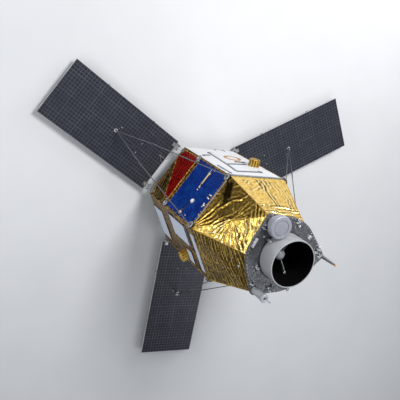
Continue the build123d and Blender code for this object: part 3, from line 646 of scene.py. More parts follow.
def mirror_finish(name):
    """Polished mirror with a trace of bloom."""
    made = Finish(name, Metallic=1.0)
    bloom = made.noise(9, 2.0)
    made.colour(made.ramp(bloom, (0.3, (0.80, 0.82, 0.86)), (0.7, (0.88, 0.89, 0.91))))
    made.gloss(bloom, 0.02, 0.07)


def panel_core(name):
    """Wing panel: pale metal round its edge and grey bonding on its two flat sides, told apart by
    the surface's own direction."""
    made = Finish(name, Metallic=0.35)
    facing = made.add("ShaderNodeSeparateXYZ")
    made.link(made.add("ShaderNodeTexCoord").outputs["Normal"], facing.inputs[0])
    flat = made.add("ShaderNodeMath", operation="ABSOLUTE")
    made.link(facing.outputs[2], flat.inputs[0])
    grain, broad = made.noise(60, 3.0), made.noise(5, 3.0)
    lines = made.ramp(made.sum((grain, 0.4), (broad, 0.6)), (0.35, (0.046, 0.050, 0.060)),
                      (0.50, (0.066, 0.071, 0.083)), (0.68, (0.100, 0.106, 0.122)))
    edge = made.ramp(grain, (0.3, (0.50, 0.50, 0.52)), (0.7, (0.72, 0.72, 0.73)))
    made.colour(made.blend(made.span(flat.outputs[0], 0.6, 0.8, 0.0, 1.0), edge, lines))
    made.gloss(grain, 0.34, 0.50)
    made.bump(grain, 0.0004)


def cell_finish(name, colour, fingers=None):
    """Solar cell glass: each cell has its own shade in the stored number; fingers draws fine
    silver lines along the piece's own UV map."""
    made = Finish(name, Metallic=0.15, Specular_IOR_Level=0.16)
    grain = made.noise(180, 2.0)
    shade = made.sum((made.stored("fold"), 0.75), (grain, 0.30))
    base = made.ramp(shade, (0.15, shaded(colour, 0.72)), (0.50, colour),
                     (0.90, shaded(colour, 1.45)))
    if fingers:
        wave = made.add("ShaderNodeTexWave", wave_type="BANDS", bands_direction="X",
                        wave_profile="SIN")
        made.link(made.add("ShaderNodeUVMap", uv_map="flat").outputs[0], wave.inputs["Vector"])
        wave.inputs["Scale"].default_value = fingers
        thin = made.span(wave.outputs["Fac"], 0.93, 0.99, 0.0, 0.45)
        base = made.blend(thin, base, (0.32, 0.34, 0.38))
    made.colour(base)
    made.gloss(grain, 0.28, 0.42)
    made.bump(grain, 0.0002)


def gold_satin(name, colour, metal, creases=0.6, slopes=0.9, folded=False):
    """Brushed gold paint or film on small parts; folded adds the stored fold number."""
    made = Finish(name, Metallic=metal)
    brush = made.add("ShaderNodeMapping")
    made.link(made.where, brush.inputs["Vector"])
    brush.inputs["Scale"].default_value = (1, 1, 0.25)
    brushed = made.noise(70, 3.0, 0.6, 0.0, brush.outputs[0])
    # On the fluted boxes the stored number darkens the flutes' hollows and lightens their ridges:
    # painted shade and painted highlight.
    both = made.sum((brushed, 0.55), (made.stored("fold"), 0.45)) if folded else brushed
    made.colour(made.ramp(both, (0.28, shaded(colour, creases)), (0.48, shaded(colour, slopes)),
                          (0.66, colour), (0.90, shaded(colour, 1.15))))
    made.gloss(brushed, 0.26, 0.42)
    made.bump(brushed, 0.0008)


def make_finishes(scene):
    """Make every material from the settings."""
    foil, paint = scene.satellite_foil, scene.satellite_finish
    for row in PLAIN_FINISHES:
        plain_finish(*row)
    gold_foil("gold_foil", tuple(foil.gold), tuple(foil.painted_shade_gold))
    gold_foil("bus_foil", (0.95, 0.60, 0.12), (0.10, 0.036, 0.003), 0.7)
    gold_foil("gold_trim", (0.85, 0.48, 0.07), (0.12, 0.050, 0.004), 0.8, 0.20)
    red_foil("red_foil", tuple(foil.red))
    blue_paint("blue_radiator", tuple(paint.blue))
    pale_paint("white_paint", tuple(paint.white))
    pale_paint("white_tile", tuple(paint.tile), 0.0010)
    plate_film("plate_silver")
    tube_paint("tube_white")
    mirror_finish("mirror_glass")
    panel_core("wing_panel")
    cell_finish("cell_grey", tuple(scene.satellite_wings.cell))
    cell_finish("cell_blue", (0.008, 0.016, 0.060), fingers=55.0)
    gold_satin("gold_band", (0.46, 0.20, 0.014), 0.10)
    gold_satin("gold_pleats", (0.80, 0.50, 0.10), 0.95, 0.10, 0.55, folded=True)
    gold_satin("rod_gold", (0.80, 0.62, 0.38), 0.20)


# CAD nodes that stay as they are, with the finish that each carries
CARRIED = (
    ("launch_ring", "ring_metal"), ("base_deck", "deck_metal"), ("white_panel", "white_paint"),
    ("rear_white_panel", "white_paint"), ("front_edge_strip", "rail_grey"),
    ("white_tiles", "white_tile"), ("rod_antenna", "rod_gold"), ("round_sensor", "sensor_white"),
    ("primary_mirror", "mirror_glass"), ("central_baffle", "baffle_black"),
    ("secondary_mirror", "hub_grey"), ("spider_vanes", "vane_grey"), ("mast_foot", "mast_grey"),
)
CARRIED_BY_WING = (
    ("hinge_brackets", "bracket_silver"), ("upper_strut_brackets", "bracket_silver"),
    ("lower_corner_brackets", "bracket_silver"), ("radiator_panel", "blue_radiator"),
    ("wing_panel", "wing_panel"), ("hinge_arms", "arm_silver"), ("hinge_damper", "damper_silver"),
    ("strut_knob", "fitting_light"), ("edge_fittings", "bracket_silver"),
    ("strut_fork", "strut_metal"), ("strut_rods", "strut_metal"),
)


# ------------------------------------------------------------------ stage
def camera_matrix(place, turn):
    """A 4 x 4 matrix from a place and a turn whose columns are right, up and back."""
    rows = np.eye(4)
    rows[:3, :3], rows[:3, 3] = turn, place
    return Matrix(rows.tolist())


def lamp(scene, name, bearing, rise, away, power, size, colour=(1, 1, 1)):
    """A square soft lamp at a bearing and rise over the horizon, turned to the bus's middle."""
    b, r = np.radians(bearing), np.radians(rise)
    reach = np.array([np.cos(b) * np.cos(r), np.sin(b) * np.cos(r), np.sin(r)]) * away
    data = bpy.data.lights.new(name, "AREA")
    data.energy, data.size, data.color = power, size, colour
    made = bpy.data.objects.new(name, data)
    made.matrix_world = camera_matrix(reach + [0, 0, 1.4], axes_of(reach))
    made.visible_camera = False
    scene.collection.objects.link(made)


def studio_floor(scene, colour):
    """A floor disc: rings of growing radius round its centre."""
    rings, columns = 13, 96
    radius = 70 * np.linspace(0, 1, rings + 1)[1:, None] ** 2
    turn = circle_turns(columns)
    points = np.stack([radius * np.cos(turn), radius * np.sin(turn),
                       np.zeros((rings, columns))], -1).reshape(-1, 3)
    c = np.arange(columns)
    fan = np.stack([np.full(columns, len(points)), c, (c + 1) % columns], -1)
    mesh = bpy.data.meshes.new("floor")
    mesh.from_pydata(points.tolist() + [[0, 0, 0]], [],
                     grid_quads(rings, columns, True)[:, ::-1].tolist() + fan.tolist())
    floor = bpy.data.objects.new("floor", mesh)
    paint = Finish("studio_floor")
    grain = paint.noise(1.4, 2.0)
    near = paint.ramp(grain, (0.3, shaded(colour, 0.985)), (0.7, shaded(colour, 1.015)))
    # Where no lamp reaches, the floor is paler, so that it meets the room's tone.
    away = paint.add("ShaderNodeVectorMath", operation="LENGTH")
    paint.link(paint.where, away.inputs[0])
    paint.colour(paint.blend(paint.span(away.outputs["Value"], 7.5, 20.0, 0.0, 1.0), near,
                             (0.95, 0.96, 0.97)))
    paint.gloss(grain, 0.70, 0.80)
    mesh.materials.append(paint.made)
    scene.collection.objects.link(floor)


class SATELLITE_OT_stage(bpy.types.Operator):
    """Make the floor, the lamps, the room and the camera"""
    bl_idname = "satellite.stage"
    bl_label = "Stage"

    def execute(self, context):
        scene, settings = context.scene, context.scene.satellite_stage
        scene.view_settings.view_transform = "Standard"
        make_finishes(scene)
        studio_floor(scene, tuple(settings.floor))
        fill = settings.fill
        lamp(scene, "key_lamp", 25, 48, 9.0, settings.key, 3.2)
        lamp(scene, "fill_lamp", 140, 32, 9.0, fill, 4.0, (0.92, 0.95, 1.0))
        lamp(scene, "back_lamp", 262, 38, 9.0, fill * 1.4, 4.0, (0.95, 0.97, 1.0))
        lamp(scene, "low_lamp", 104, 11, 8.5, fill * 1.4, 2.8)
        lamp(scene, "side_lamp", 348, 14, 8.5, fill * 1.5, 2.2)
        world = scene.world = bpy.data.worlds.new("room")
        world.use_nodes = True
        nodes = world.node_tree.nodes
        nodes.clear()
        output, dim = nodes.new("ShaderNodeOutputWorld"), nodes.new("ShaderNodeBackground")
        dim.inputs[0].default_value = (0.92, 0.96, 1.0, 1)
        dim.inputs[1].default_value = settings.room
        world.node_tree.links.new(dim.outputs[0], output.inputs[0])
        camera = bpy.data.objects.new("camera", bpy.data.cameras.new("camera"))
        camera.data.sensor_width, camera.data.lens = 36.0, 58.2055
        camera.matrix_world = camera_matrix(
            (-0.10631, 5.91739, 9.55598),
            np.array([[0.60710, 0.79461, -0.00401], [-0.66769, 0.51286, 0.53960],
                      [0.43083, -0.32491, 0.84191]]))
        scene.collection.objects.link(camera)
        scene.camera = camera
        return {"FINISHED"}


class SATELLITE_OT_carried(bpy.types.Operator):
    """Give every CAD node that stays its finish"""
    bl_idname = "satellite.carried"
    bl_label = "Carried parts"

    def execute(self, context):
        by_wing = tuple((f"{node}_{number}", finish) for node, finish in CARRIED_BY_WING
                        for number in (1, 2, 3))
        for node, finish in CARRIED + by_wing:
            materials = frame["nodes"][node].data.materials
            materials.clear()
            materials.append(FINISHES[finish])
        return {"FINISHED"}


# ------------------------------------------------------------------ foil
def crests(height, reach=3):
    """How far a grid of heights stands over its surroundings: each height less the mean of the
    four that are `reach` steps away, scaled to about -1 to 1."""
    wide = np.pad(height, reach, mode="edge")
    rows, columns = height.shape
    mean = (wide[:rows, reach:-reach] + wide[2 * reach:, reach:-reach]
            + wide[reach:-reach, :columns] + wide[reach:-reach, 2 * reach:]) / 4
    rise = height - mean
    return np.clip(rise / (2.2 * rise.std() + 1e-9), -1, 1)


class SATELLITE_OT_bus_foil(bpy.types.Operator):
    """Wrap the bus in crinkled gold foil, with padded strips over its six corners"""
    bl_idname = "satellite.bus_foil"
    bl_label = "Bus foil"

    def execute(self, context):
        # A hexagonal wall: each column stands on a face at its side, and is pushed in and out by
        # crumple noise that dies away at the corners.
        per_face, rows = 90, 152
        face = np.repeat(np.arange(6), per_face)
        share = np.tile(np.linspace(-1, 1, per_face, endpoint=False), 6)
        half = CORE_R / 2
        side = share * half
        up = (np.linspace(CORE_LOW, BUS_TOP, rows) - BASE)[:, None]
        x = side + face * 1.7
        waves = (up * 0.95 - x * 0.31) / 0.058 + 0.8 * value_noise(x * 5, up * 5, 4)
        folds = (0.40 * crumple(x, up, 0.20, 11, 4) + 0.10 * crumple(x, up, 0.07, 23, 3)
                 + 0.75 * pleats(waves, 31, x * 4) - 0.25)
        fade = 1 - np.abs(share) ** 10
        ends = np.clip(np.minimum(up - up[0], up[-1] - up) / 0.02, 0, 1)
        off = CORE_OUT + np.clip(folds, -1, 1) * 0.006 * fade * ends - 0.002 * fade
        bearing = np.radians(30 + 60 * face)
        points = np.stack([off * np.cos(bearing) - side * np.sin(bearing),
                           off * np.sin(bearing) + side * np.cos(bearing),
                           np.broadcast_to(up + BASE, off.shape)], -1)
        # The face at bearing 150 is darkened and the one at 90 lightened a little as painted shade
        # and light; crests are lightened and creases darkened as painted highlight and painted
        # shade.
        shade = np.select([face == 1, face == 2], [0.02, -0.13], 0.0)
        relief = np.where(face == 2, 0.24, 0.50)
        value = (0.52 + shade + relief * crests(folds)).ravel()
        Shape().add(np.concatenate([points.reshape(-1, 3), [[0, 0, CORE_LOW], [0, 0, BUS_TOP]]]),
                    grid_quads(rows, 6 * per_face, True), ends_of(rows, 6 * per_face),
                    np.concatenate([value, [0.5, 0.5]])).piece(
            "bus_foil", "gold_foil", "bus_foil", ["bus_core"])
        # Corner strips: an arch over the corner, 22 mm down each face.
        strips = Shape()
        w = np.linspace(-1, 1, 9)
        run = np.linspace(CORE_LOW - BASE + 0.002, BUS_UP - 0.001, 130)[:, None]
        for corner in range(6):
            seed = 60 + corner
            wrinkle = crumple(run, w * 0.03, 0.045, seed, 3)
            lift = (1 - w ** 4) * 0.0042 * (1 + 0.5 * wrinkle) - 0.001 * (np.abs(w) > 0.99)
            reach = 0.022 * (1 + 0.12 * value_noise(run * 14, 0.4, seed))
            lower = on_face(60 * corner - 30, half + w * reach, CORE_OUT + lift, run)
            upper = on_face(60 * corner + 30, w * reach - half, CORE_OUT + lift, run)
            # The stored number is lighter where the wrinkles rise and darker where they sink:
            # painted highlight and painted shade.
            strips.add(np.where((w < 0)[None, :, None], lower, upper),
                       grid_quads(len(run), len(w)), value=0.36 + 0.30 * wrinkle)
        strips.piece("corner_strips", "gold_foil", "gold_trim")
        return {"FINISHED"}


# Parallel folds of the cone's sides: bearing, direction of run in degrees, pitch, share of the
# depth, and the window of side and rise that they fill
CONE_FOLDS = (
    (30, 86, 0.066, 1.00, (-0.47, 0.07, 0.05, 0.68)),
    (30, 4, 0.062, 0.95, (-0.47, 0.33, 0.66, 0.96)),
    (30, 66, 0.140, 0.35, (0.02, 0.47, 0.0, 0.95)),
    (30, 40, 0.070, 0.60, (0.00, 0.30, 0.08, 0.33)),
    (90, 34, 0.058, 0.95, (-0.42, 0.34, 0.66, 0.96)),
    (90, 150, 0.075, 0.45, (-0.47, 0.30, 0.16, 0.50)),
    (150, 5, 0.030, 0.42, (-0.47, 0.47, 0.0, 0.96)),
    (150, 18, 0.062, 0.30, (-0.30, 0.47, 0.45, 0.96)),
    (210, 82, 0.055, 0.80, (-0.47, 0.47, 0.0, 0.65)),
    (210, 12, 0.060, 0.60, (-0.47, 0.47, 0.62, 0.96)),
    (270, 104, 0.060, 0.80, (-0.47, 0.30, 0.0, 0.70)),
    (270, -14, 0.050, 0.60, (-0.47, 0.47, 0.60, 0.96)),
    (330, 72, 0.055, 0.80, (-0.30, 0.47, 0.05, 0.70)),
    (330, 8, 0.050, 0.70, (-0.47, 0.47, 0.66, 0.96)),
)
# Points that folds fan out from: bearing, side, rise, lowest and highest direction in degrees,
# folds in the fan, share of the depth
CONE_FANS = (
    (90, 0.00, 0.49, -52, 78, 11, 1.35), (90, 0.469, 0.0, 100, 176, 7, 0.75),
    (90, 0.00, 0.49, 95, 200, 7, 0.45), (210, -0.469, 0.0, 5, 88, 9, 0.70),
    (330, 0.05, 0.55, -160, -20, 11, 0.80), (270, 0.469, 0.0, 95, 176, 9, 0.60),
)
# How much each side's lower and upper half is lightened or darkened: painted light and shade on the
# cone's sides
CONE_PAINTED_LIGHT = {30: (0.13, 0.15), 90: (-0.17, 0.15), 150: (-0.15, -0.13), 210: (-0.04, 0.04),
               270: (0.04, -0.04), 330: (0.06, 0.10)}
# A deep pocket under the bracket, whose colour is also darkened as painted shade: bearing, side,
# rise, direction, half length, half width
POCKET = (90, -0.275, 0.125, 27, 0.150, 0.042)


def cone_folds(bearing, side, rise, seed):
    """Heights of one cone side's folds, from about -1 to 1: crumple noise, parallel folds whose
    phase is the distance across their run, and fans whose phase is the direction from a point."""
    total = (0.26 * crumple(side, rise, 0.28, seed, 3)
             + 0.15 * crumple(side, rise, 0.10, seed + 9, 3))
    warp = 0.60 * layered_noise(side * 5, rise * 5, seed + 3, 2)
    warp = warp + 0.11 * value_noise(side * 26, rise * 26, seed + 4)
    for number, (at, run, pitch, share, window) in enumerate(CONE_FOLDS):
        if at == bearing:
            turn = np.radians(run)
            across = rise * np.cos(turn) - side * np.sin(turn)
            along = side * np.cos(turn) + rise * np.sin(turn)
            inside = np.minimum(np.minimum(side - window[0], window[1] - side),
                                np.minimum(rise - window[2], window[3] - rise))
            folds = pleats(across / pitch + warp, seed + 60 + number, along * 3.2) - 0.38
            total = total + share * np.clip(inside / 0.06 + 0.5, 0, 1) * folds
    for number, (at, x, y, first, last, count, share) in enumerate(CONE_FANS):
        if at == bearing:
            away = np.hypot(side - x, rise - y)
            middle, width = (first + last) / 2, (last - first) / 2
            turn = (np.degrees(np.arctan2(rise - y, side - x)) - middle + 180) % 360 - 180
            inside = np.clip((width - np.abs(turn)) / 16, 0, 1)
            grow = np.clip(away / 0.12, 0, 1) * np.clip((0.80 - away) / 0.3, 0, 1)
            phase = turn * count / (2 * width) + 0.55 * warp
            folds = pleats(phase, seed + 80 + number, away * 4, 1.4) - 0.38
            total = total + share * inside * grow * folds
    return total


def pocket(bearing, side, rise):
    """How deep a point lies in the pocket under the bracket: a bell over a long ellipse."""
    at, x, y, run, length, width = POCKET
    turn = np.radians(run)
    along = (side - x) * np.cos(turn) + (rise - y) * np.sin(turn)
    across = (rise - y) * np.cos(turn) - (side - x) * np.sin(turn)
    return (at == bearing) * np.exp(-(along / length) ** 4 - (across / width) ** 2)


def cone_corner(bearing, upper, swell=0.0, inset=0.0):
    """An upper or lower corner of the cone, moved outwards and towards the cone's middle."""
    radius = CONE_CORNERS.get(bearing % 360, PLAIN_CORNER) if upper else CORE_R
    level = PLATE_LOW - inset if upper else BUS_TOP + inset
    b = np.radians(bearing)
    return np.array([(radius + swell) * np.cos(b), (radius + swell) * np.sin(b), level])


class SATELLITE_OT_cone_foil(bpy.types.Operator):
    """Wrap the payload cone in deeply folded gold foil, each side bent from corner to corner"""
    bl_idname = "satellite.cone_foil"
    bl_label = "Cone foil"

    def execute(self, context):
        # Each side is a square grid of shares (u, v) laid on two triangles that meet along a
        # diagonal, and pushed along the side's own normal by its folds.
        depth, cells = context.scene.satellite_foil.fold, 127
        rows, columns = cells + 1, 6 * cells
        u = np.linspace(0, 1, rows)[None, :-1, None]
        v = np.linspace(0, 1, rows)[:, None, None]
        edge = np.minimum(np.minimum(u, 1 - u), np.minimum(v, 1 - v))[..., 0]
        border = np.clip(edge / 0.05, 0, 1)
        r, c = np.meshgrid(np.arange(cells), np.arange(cells), indexing="ij")
        grids, values, triangles = [], [], []
        for count in range(6):
            here, bearing = 60 * count, 60 * count + 30
            la, lb = cone_corner(here, False), cone_corner(here + 60, False)
            ha, hb = cone_corner(here, True), cone_corner(here + 60, True)
            a = r * columns + count * cells + c
            b = r * columns + (count * cells + c + 1) % columns
            if here in CONE_CORNERS:
                flat = np.where(u + v <= 1, la + u * (lb - la) + v * (ha - la),
                                hb + (1 - u) * (ha - hb) + (1 - v) * (lb - hb))
                past = (u + v - 1)[..., 0]
                split = (a, b, a + columns), (b, b + columns, a + columns)
            else:
                flat = np.where(v <= u, lb + (1 - u) * (la - lb) + v * (hb - lb),
                                ha + u * (hb - ha) + (1 - v) * (la - ha))
                past = (v - u)[..., 0]
                split = (a, b, b + columns), (a, b + columns, a + columns)
            triangles += [np.stack(corners, -1).reshape(-1, 3) for corners in split]
            normal = np.cross(lb - la, (ha + hb) / 2 - (la + lb) / 2)
            normal /= np.linalg.norm(normal)
            side, rise = flat @ face_axes(bearing)[1], flat[..., 2] - BUS_TOP
            folds = cone_folds(bearing, side, rise, 100 + 17 * count)
            fade = border ** 0.7 * (0.55 + 0.45 * np.clip(np.abs(past) / 0.05, 0, 1))
            push = np.clip(folds, -1.2, 1.3) * depth * 0.8 * fade - 0.004 * border
            deep = pocket(bearing, side, rise)
            grids.append(flat + (push - 0.020 * deep * border)[..., None] * normal)
            # Each side's halves are lightened or darkened as painted light and shade, with a faint
            # random tone from noise; crests are lightened and creases darkened as painted highlight
            # and painted shade.
            lower, upper = CONE_PAINTED_LIGHT[bearing]
            shade = lower + (upper - lower) * np.clip(past / 0.16 + 0.5, 0, 1)
            shade = shade + 0.07 * layered_noise(side * 3.5, rise * 3.5, 7 + count, 2)
            relief = 0.34 if bearing == TILED else 0.40
            # The pocket is darkened as painted shade.
            values.append(0.5 + relief * crests(folds) + shade - 0.5 * deep)
        points = np.concatenate(grids, 1)
        # The upper end turns inwards to the tube's hole and runs down it to its floor.
        across = points[-1, :, :2] / np.linalg.norm(points[-1, :, :2], axis=1, keepdims=True)
        floor = TUBE_LOW - 0.001
        hole = [np.column_stack([across * (TUBE_R + 0.0025), np.full(columns, level)])
                for level in (PLATE_LOW, floor)]
        points = np.concatenate([points, np.stack(hole)]).reshape(-1, 3)
        value = np.concatenate([np.concatenate(values, 1).ravel(), np.full(2 * columns + 2, 0.3)])
        Shape().add(np.concatenate([points, [[0, 0, BUS_TOP], [0, 0, floor]]]),
                    grid_quads(3, columns, True) + (rows - 1) * columns,
                    np.concatenate(triangles + [ends_of(rows + 2, columns)]), value).piece(
            "cone_foil", "gold_foil", replaces=["payload_cone"])
        seams = Shape()
        for corner in range(0, 360, 60):
            path, run = resampled([cone_corner(corner, False, 0.0005, 0.004),
                                   cone_corner(corner, True, 0.0005, 0.004)], 0.02)
            swell = 0.0034 * (1 + 0.3 * value_noise(run * 18, 0.2, corner))
            seams.bar(path, swell, 8, value=0.62)
        seams.piece("cone_seams", "gold_foil", "gold_trim", smooth=True)
        return {"FINISHED"}


def slab(front, back):
    """A closed sheet between two grids of points: both grids, the back one turned round, and a
    rim of quads along their borders."""
    rows, columns = front.shape[:2]
    count = rows * columns
    number = np.arange(count).reshape(rows, columns)
    rim = np.concatenate([number[0], number[1:, -1], number[-1, -2::-1], number[-2:0:-1, 0]])
    after = np.roll(rim, -1)
    quads = grid_quads(rows, columns)
    walls = np.stack([after, rim, rim + count, after + count], -1)
    points = np.concatenate([front.reshape(-1, 3), back.reshape(-1, 3)])
    return points, np.concatenate([quads, quads[:, ::-1] + count, walls])


class SATELLITE_OT_red_shield(bpy.types.Operator):
    """Make the red foil shield with its crumpled face, and the gold seams round it"""
    bl_idname = "satellite.red_shield"
    bl_label = "Red shield"

    def execute(self, context):
        # The sheet fills the space between a lower and an upper edge, both broken lines over side.
        first, last = -0.432, 0.361
        side = np.linspace(first, last, 110)[None]
        share = np.linspace(0, 1, 76)[:, None]
        lower = np.interp(side, (first, -0.376, -0.290, last), (0.097, 0.097, 0.012, 0.466))
        upper = np.interp(side, (first, -0.380, last), (0.540, 0.575, 0.575))
        up = lower + share * (upper - lower)
        waves = (up * 0.95 - side * 0.31) / 0.062 + 0.9 * value_noise(side * 7, up * 7, 8)
        folds = 0.45 * crumple(side, up, 0.12, 5, 3) + 0.75 * pleats(waves, 12, side * 5)
        edge = np.minimum(np.minimum(share, 1 - share) / 0.06,
                          np.minimum(side - first, last - side) / 0.02)
        lift = 0.0050 + 0.0052 * np.clip(folds, -0.8, 1) * np.clip(edge, 0.15, 1)
        # The stored number is lighter on the folds' crests and darker in their creases: painted
        # highlight and painted shade.
        value = np.concatenate([(0.55 + 0.60 * crests(folds)).ravel(), np.full(lift.size, 0.4)])
        points, quads = slab(on_face(90, side, CORE_OUT + lift, up),
                             on_face(90, side, CORE_OUT - 0.001, up))
        Shape().add(points, quads, value=value).piece("red_shield_foil", "red_foil",
                                                      replaces=["red_shield"])
        seams = Shape()
        rows = (([(-0.300, 0.006), (0.366, 0.470)], 0.016, 0.0085),
                ([(0.368, 0.462), (0.368, 0.585)], 0.013, 0.007),
                ([(-0.385, 0.583), (0.372, 0.583)], 0.018, 0.0085),
                ([(-0.438, 0.095), (-0.438, 0.545)], 0.012, 0.006))
        for number, (path, width, rise) in enumerate(rows):
            seams.strip(90, CORE_OUT, path, width, rise, 0.62, 0.008, 7, 0.8, 70 + number)
        seams.piece("red_shield_seams", "gold_foil", "gold_trim")
        return {"FINISHED"}


class SATELLITE_OT_panel_trims(bpy.types.Operator):
    """Edge the radiators and white panels with crinkled gold strips and a pale top strip"""
    bl_idname = "satellite.panel_trims"
    bl_label = "Panel trims"

    def execute(self, context):
        trims, pale = Shape(), Shape()
        left, right, bottom, top = np.array(RADIATOR) + [-0.0085, 0.0085, -0.008, 0.007]
        loop = [(left, bottom), (right, bottom), (right, top), (left, top), (left, bottom)]
        top = BUS_UP - 0.005
        for bearing in WING_BEARINGS:
            trims.strip(bearing, CORE_OUT, loop, 0.020, 0.0125, 0.46, 0.008, 7, 0.25, 90 + bearing)
            pale.strip(bearing, CORE_OUT, [(-0.462, top), (0.462, top)], 0.009, 0.0070, 0.5, 0.02,
                       7, 0.25, 5)
            trims.strip(bearing, CORE_OUT, [(-0.455, 0.032), (0.455, 0.032)], 0.014, 0.006, 0.45,
                        0.01, 5, 0.5, 17)
        for bearing, side in ((WHITE, -0.4575), (REAR, -0.4575), (REAR, 0.4575)):
            trims.strip(bearing, CORE_OUT, [(side, 0.02), (side, BUS_UP - 0.05)], 0.020, 0.0105,
                        0.52, 0.01, 7, 0.4, bearing)
        top = BUS_UP - 0.030
        pale.strip(REAR, CORE_OUT, [(-0.460, top), (0.460, top)], 0.034, 0.0125, 0.5, 0.03, 9,
                   0.15, 6)
        trims.piece("panel_trims", "gold_foil", "gold_trim")
        pale.piece("top_edge_strips", "edge_metal", "barrel_grey")
        return {"FINISHED"}


class SATELLITE_OT_gold_boxes(bpy.types.Operator):
    """Make the two fluted gold boxes that stand off the faces"""
    bl_idname = "satellite.gold_boxes"
    bl_label = "Gold boxes"

    def execute(self, context):
        # A wall whose radius waves twelve times round, closed by a stepped lid; the waves fade
        # towards the lid's middle.
        columns, tall = 144, 0.1138
        turn = circle_turns(columns)[None]
        wave = np.abs(np.sin(6 * turn)) ** 0.7
        rows = np.array([  # radius, height, depth of the flutes
            (0.089, 0.0, 1), (0.089, 0.010, 1), (0.0885, 0.014, 1), (0.0885, 0.098, 1),
            (0.0895, 0.101, 0.6), (0.0895, 0.108, 0.5), (0.0875, 0.1115, 0.4),
            (0.084, 0.1125, 0.2), (0.070, 0.1125, 0.1), (0.068, 0.1100, 0), (0.045, 0.1100, 0),
            (0.043, tall, 0), (0.020, tall, 0)])
        # number, bearing, face, depth of a flute, darkest painted shade in the flutes
        for number, bearing, face, flute, dark in ((1, WHITE, FACE_OUT, 0.0105, 0.05),
                                                   (2, TILED, CORE_OUT, 0.0070, 0.40)):
            middle = (low(f"gold_box_{number}") + high(f"gold_box_{number}")) / 2
            side, up = middle @ face_axes(bearing)[1], middle[2] - BASE
            size = rows[:, :1] - flute * rows[:, 2:] * (1 - wave)
            points = on_face(bearing, side + size * np.cos(turn + 0.13), face + rows[:, 1:2],
                             up + size * np.sin(turn + 0.13)).reshape(-1, 3)
            poles = on_face(bearing, side, np.array([face, face + tall]), up)
            # The flutes' hollows are darkened and their ridges lightened: painted shade and painted
            # highlight.
            shade = dark + 0.70 * np.broadcast_to(wave, size.shape) ** 2
            Shape().add(np.concatenate([points, poles]), grid_quads(len(rows), columns, True),
                        ends_of(len(rows), columns), np.concatenate([shade.ravel(), [0.6, 0.6]])
                        ).piece(f"fluted_box_{number}", "gold_pleats",
                                replaces=[f"gold_box_{number}"])
        return {"FINISHED"}


# ------------------------------------------------------------------ instrument plate and optics
PLATE_R, LOBE_NOSE = 0.555, 0.057
CLUSTERS = (  # place on the plate, size of the cluster, how many small parts
    (0.183, 0.510, 0.050, 6), (0.483, 0.110, 0.055, 7), (0.387, -0.458, 0.050, 6),
    (0.344, -0.565, 0.045, 6), (0.340, -0.469, 0.030, 3), (-0.452, -0.189, 0.050, 6),
    (-0.334, 0.234, 0.050, 7), (-0.541, 0.115, 0.032, 4), (-0.316, -0.470, 0.028, 3),
    (0.050, -0.450, 0.045, 4), (0.450, -0.200, 0.040, 4), (-0.120, -0.500, 0.040, 4))


def plate_reach(turn):
    """The plate's radius in a direction: the circle, the straight edge that leaves it at the
    tangent's lean, or a lobe's own round nose, whichever lies in that direction."""
    reach = np.full(np.shape(turn), PLATE_R)
    for bearing, at in LOBES.items():
        lean = np.arccos((PLATE_R - LOBE_NOSE) / at)
        aside = np.abs((turn - np.radians(bearing) + np.pi) % (2 * np.pi) - np.pi)
        tip = np.arctan2(LOBE_NOSE * np.sin(lean), at + LOBE_NOSE * np.cos(lean))
        straight = PLATE_R / np.cos(np.clip(lean - aside, 0, lean))
        inside = np.clip(LOBE_NOSE ** 2 - (at * np.sin(np.minimum(aside, tip))) ** 2, 0, None)
        nose = at * np.cos(aside) + np.sqrt(inside)
        reach = np.where(aside < lean, np.where(aside > tip, straight, nose), reach)
    return reach


def heads_round(middle, radius, turn, level):
    """Places round a level circle."""
    return np.stack([middle[0] + radius * np.cos(turn), middle[1] + radius * np.sin(turn),
                     np.full(len(turn), level)], -1)


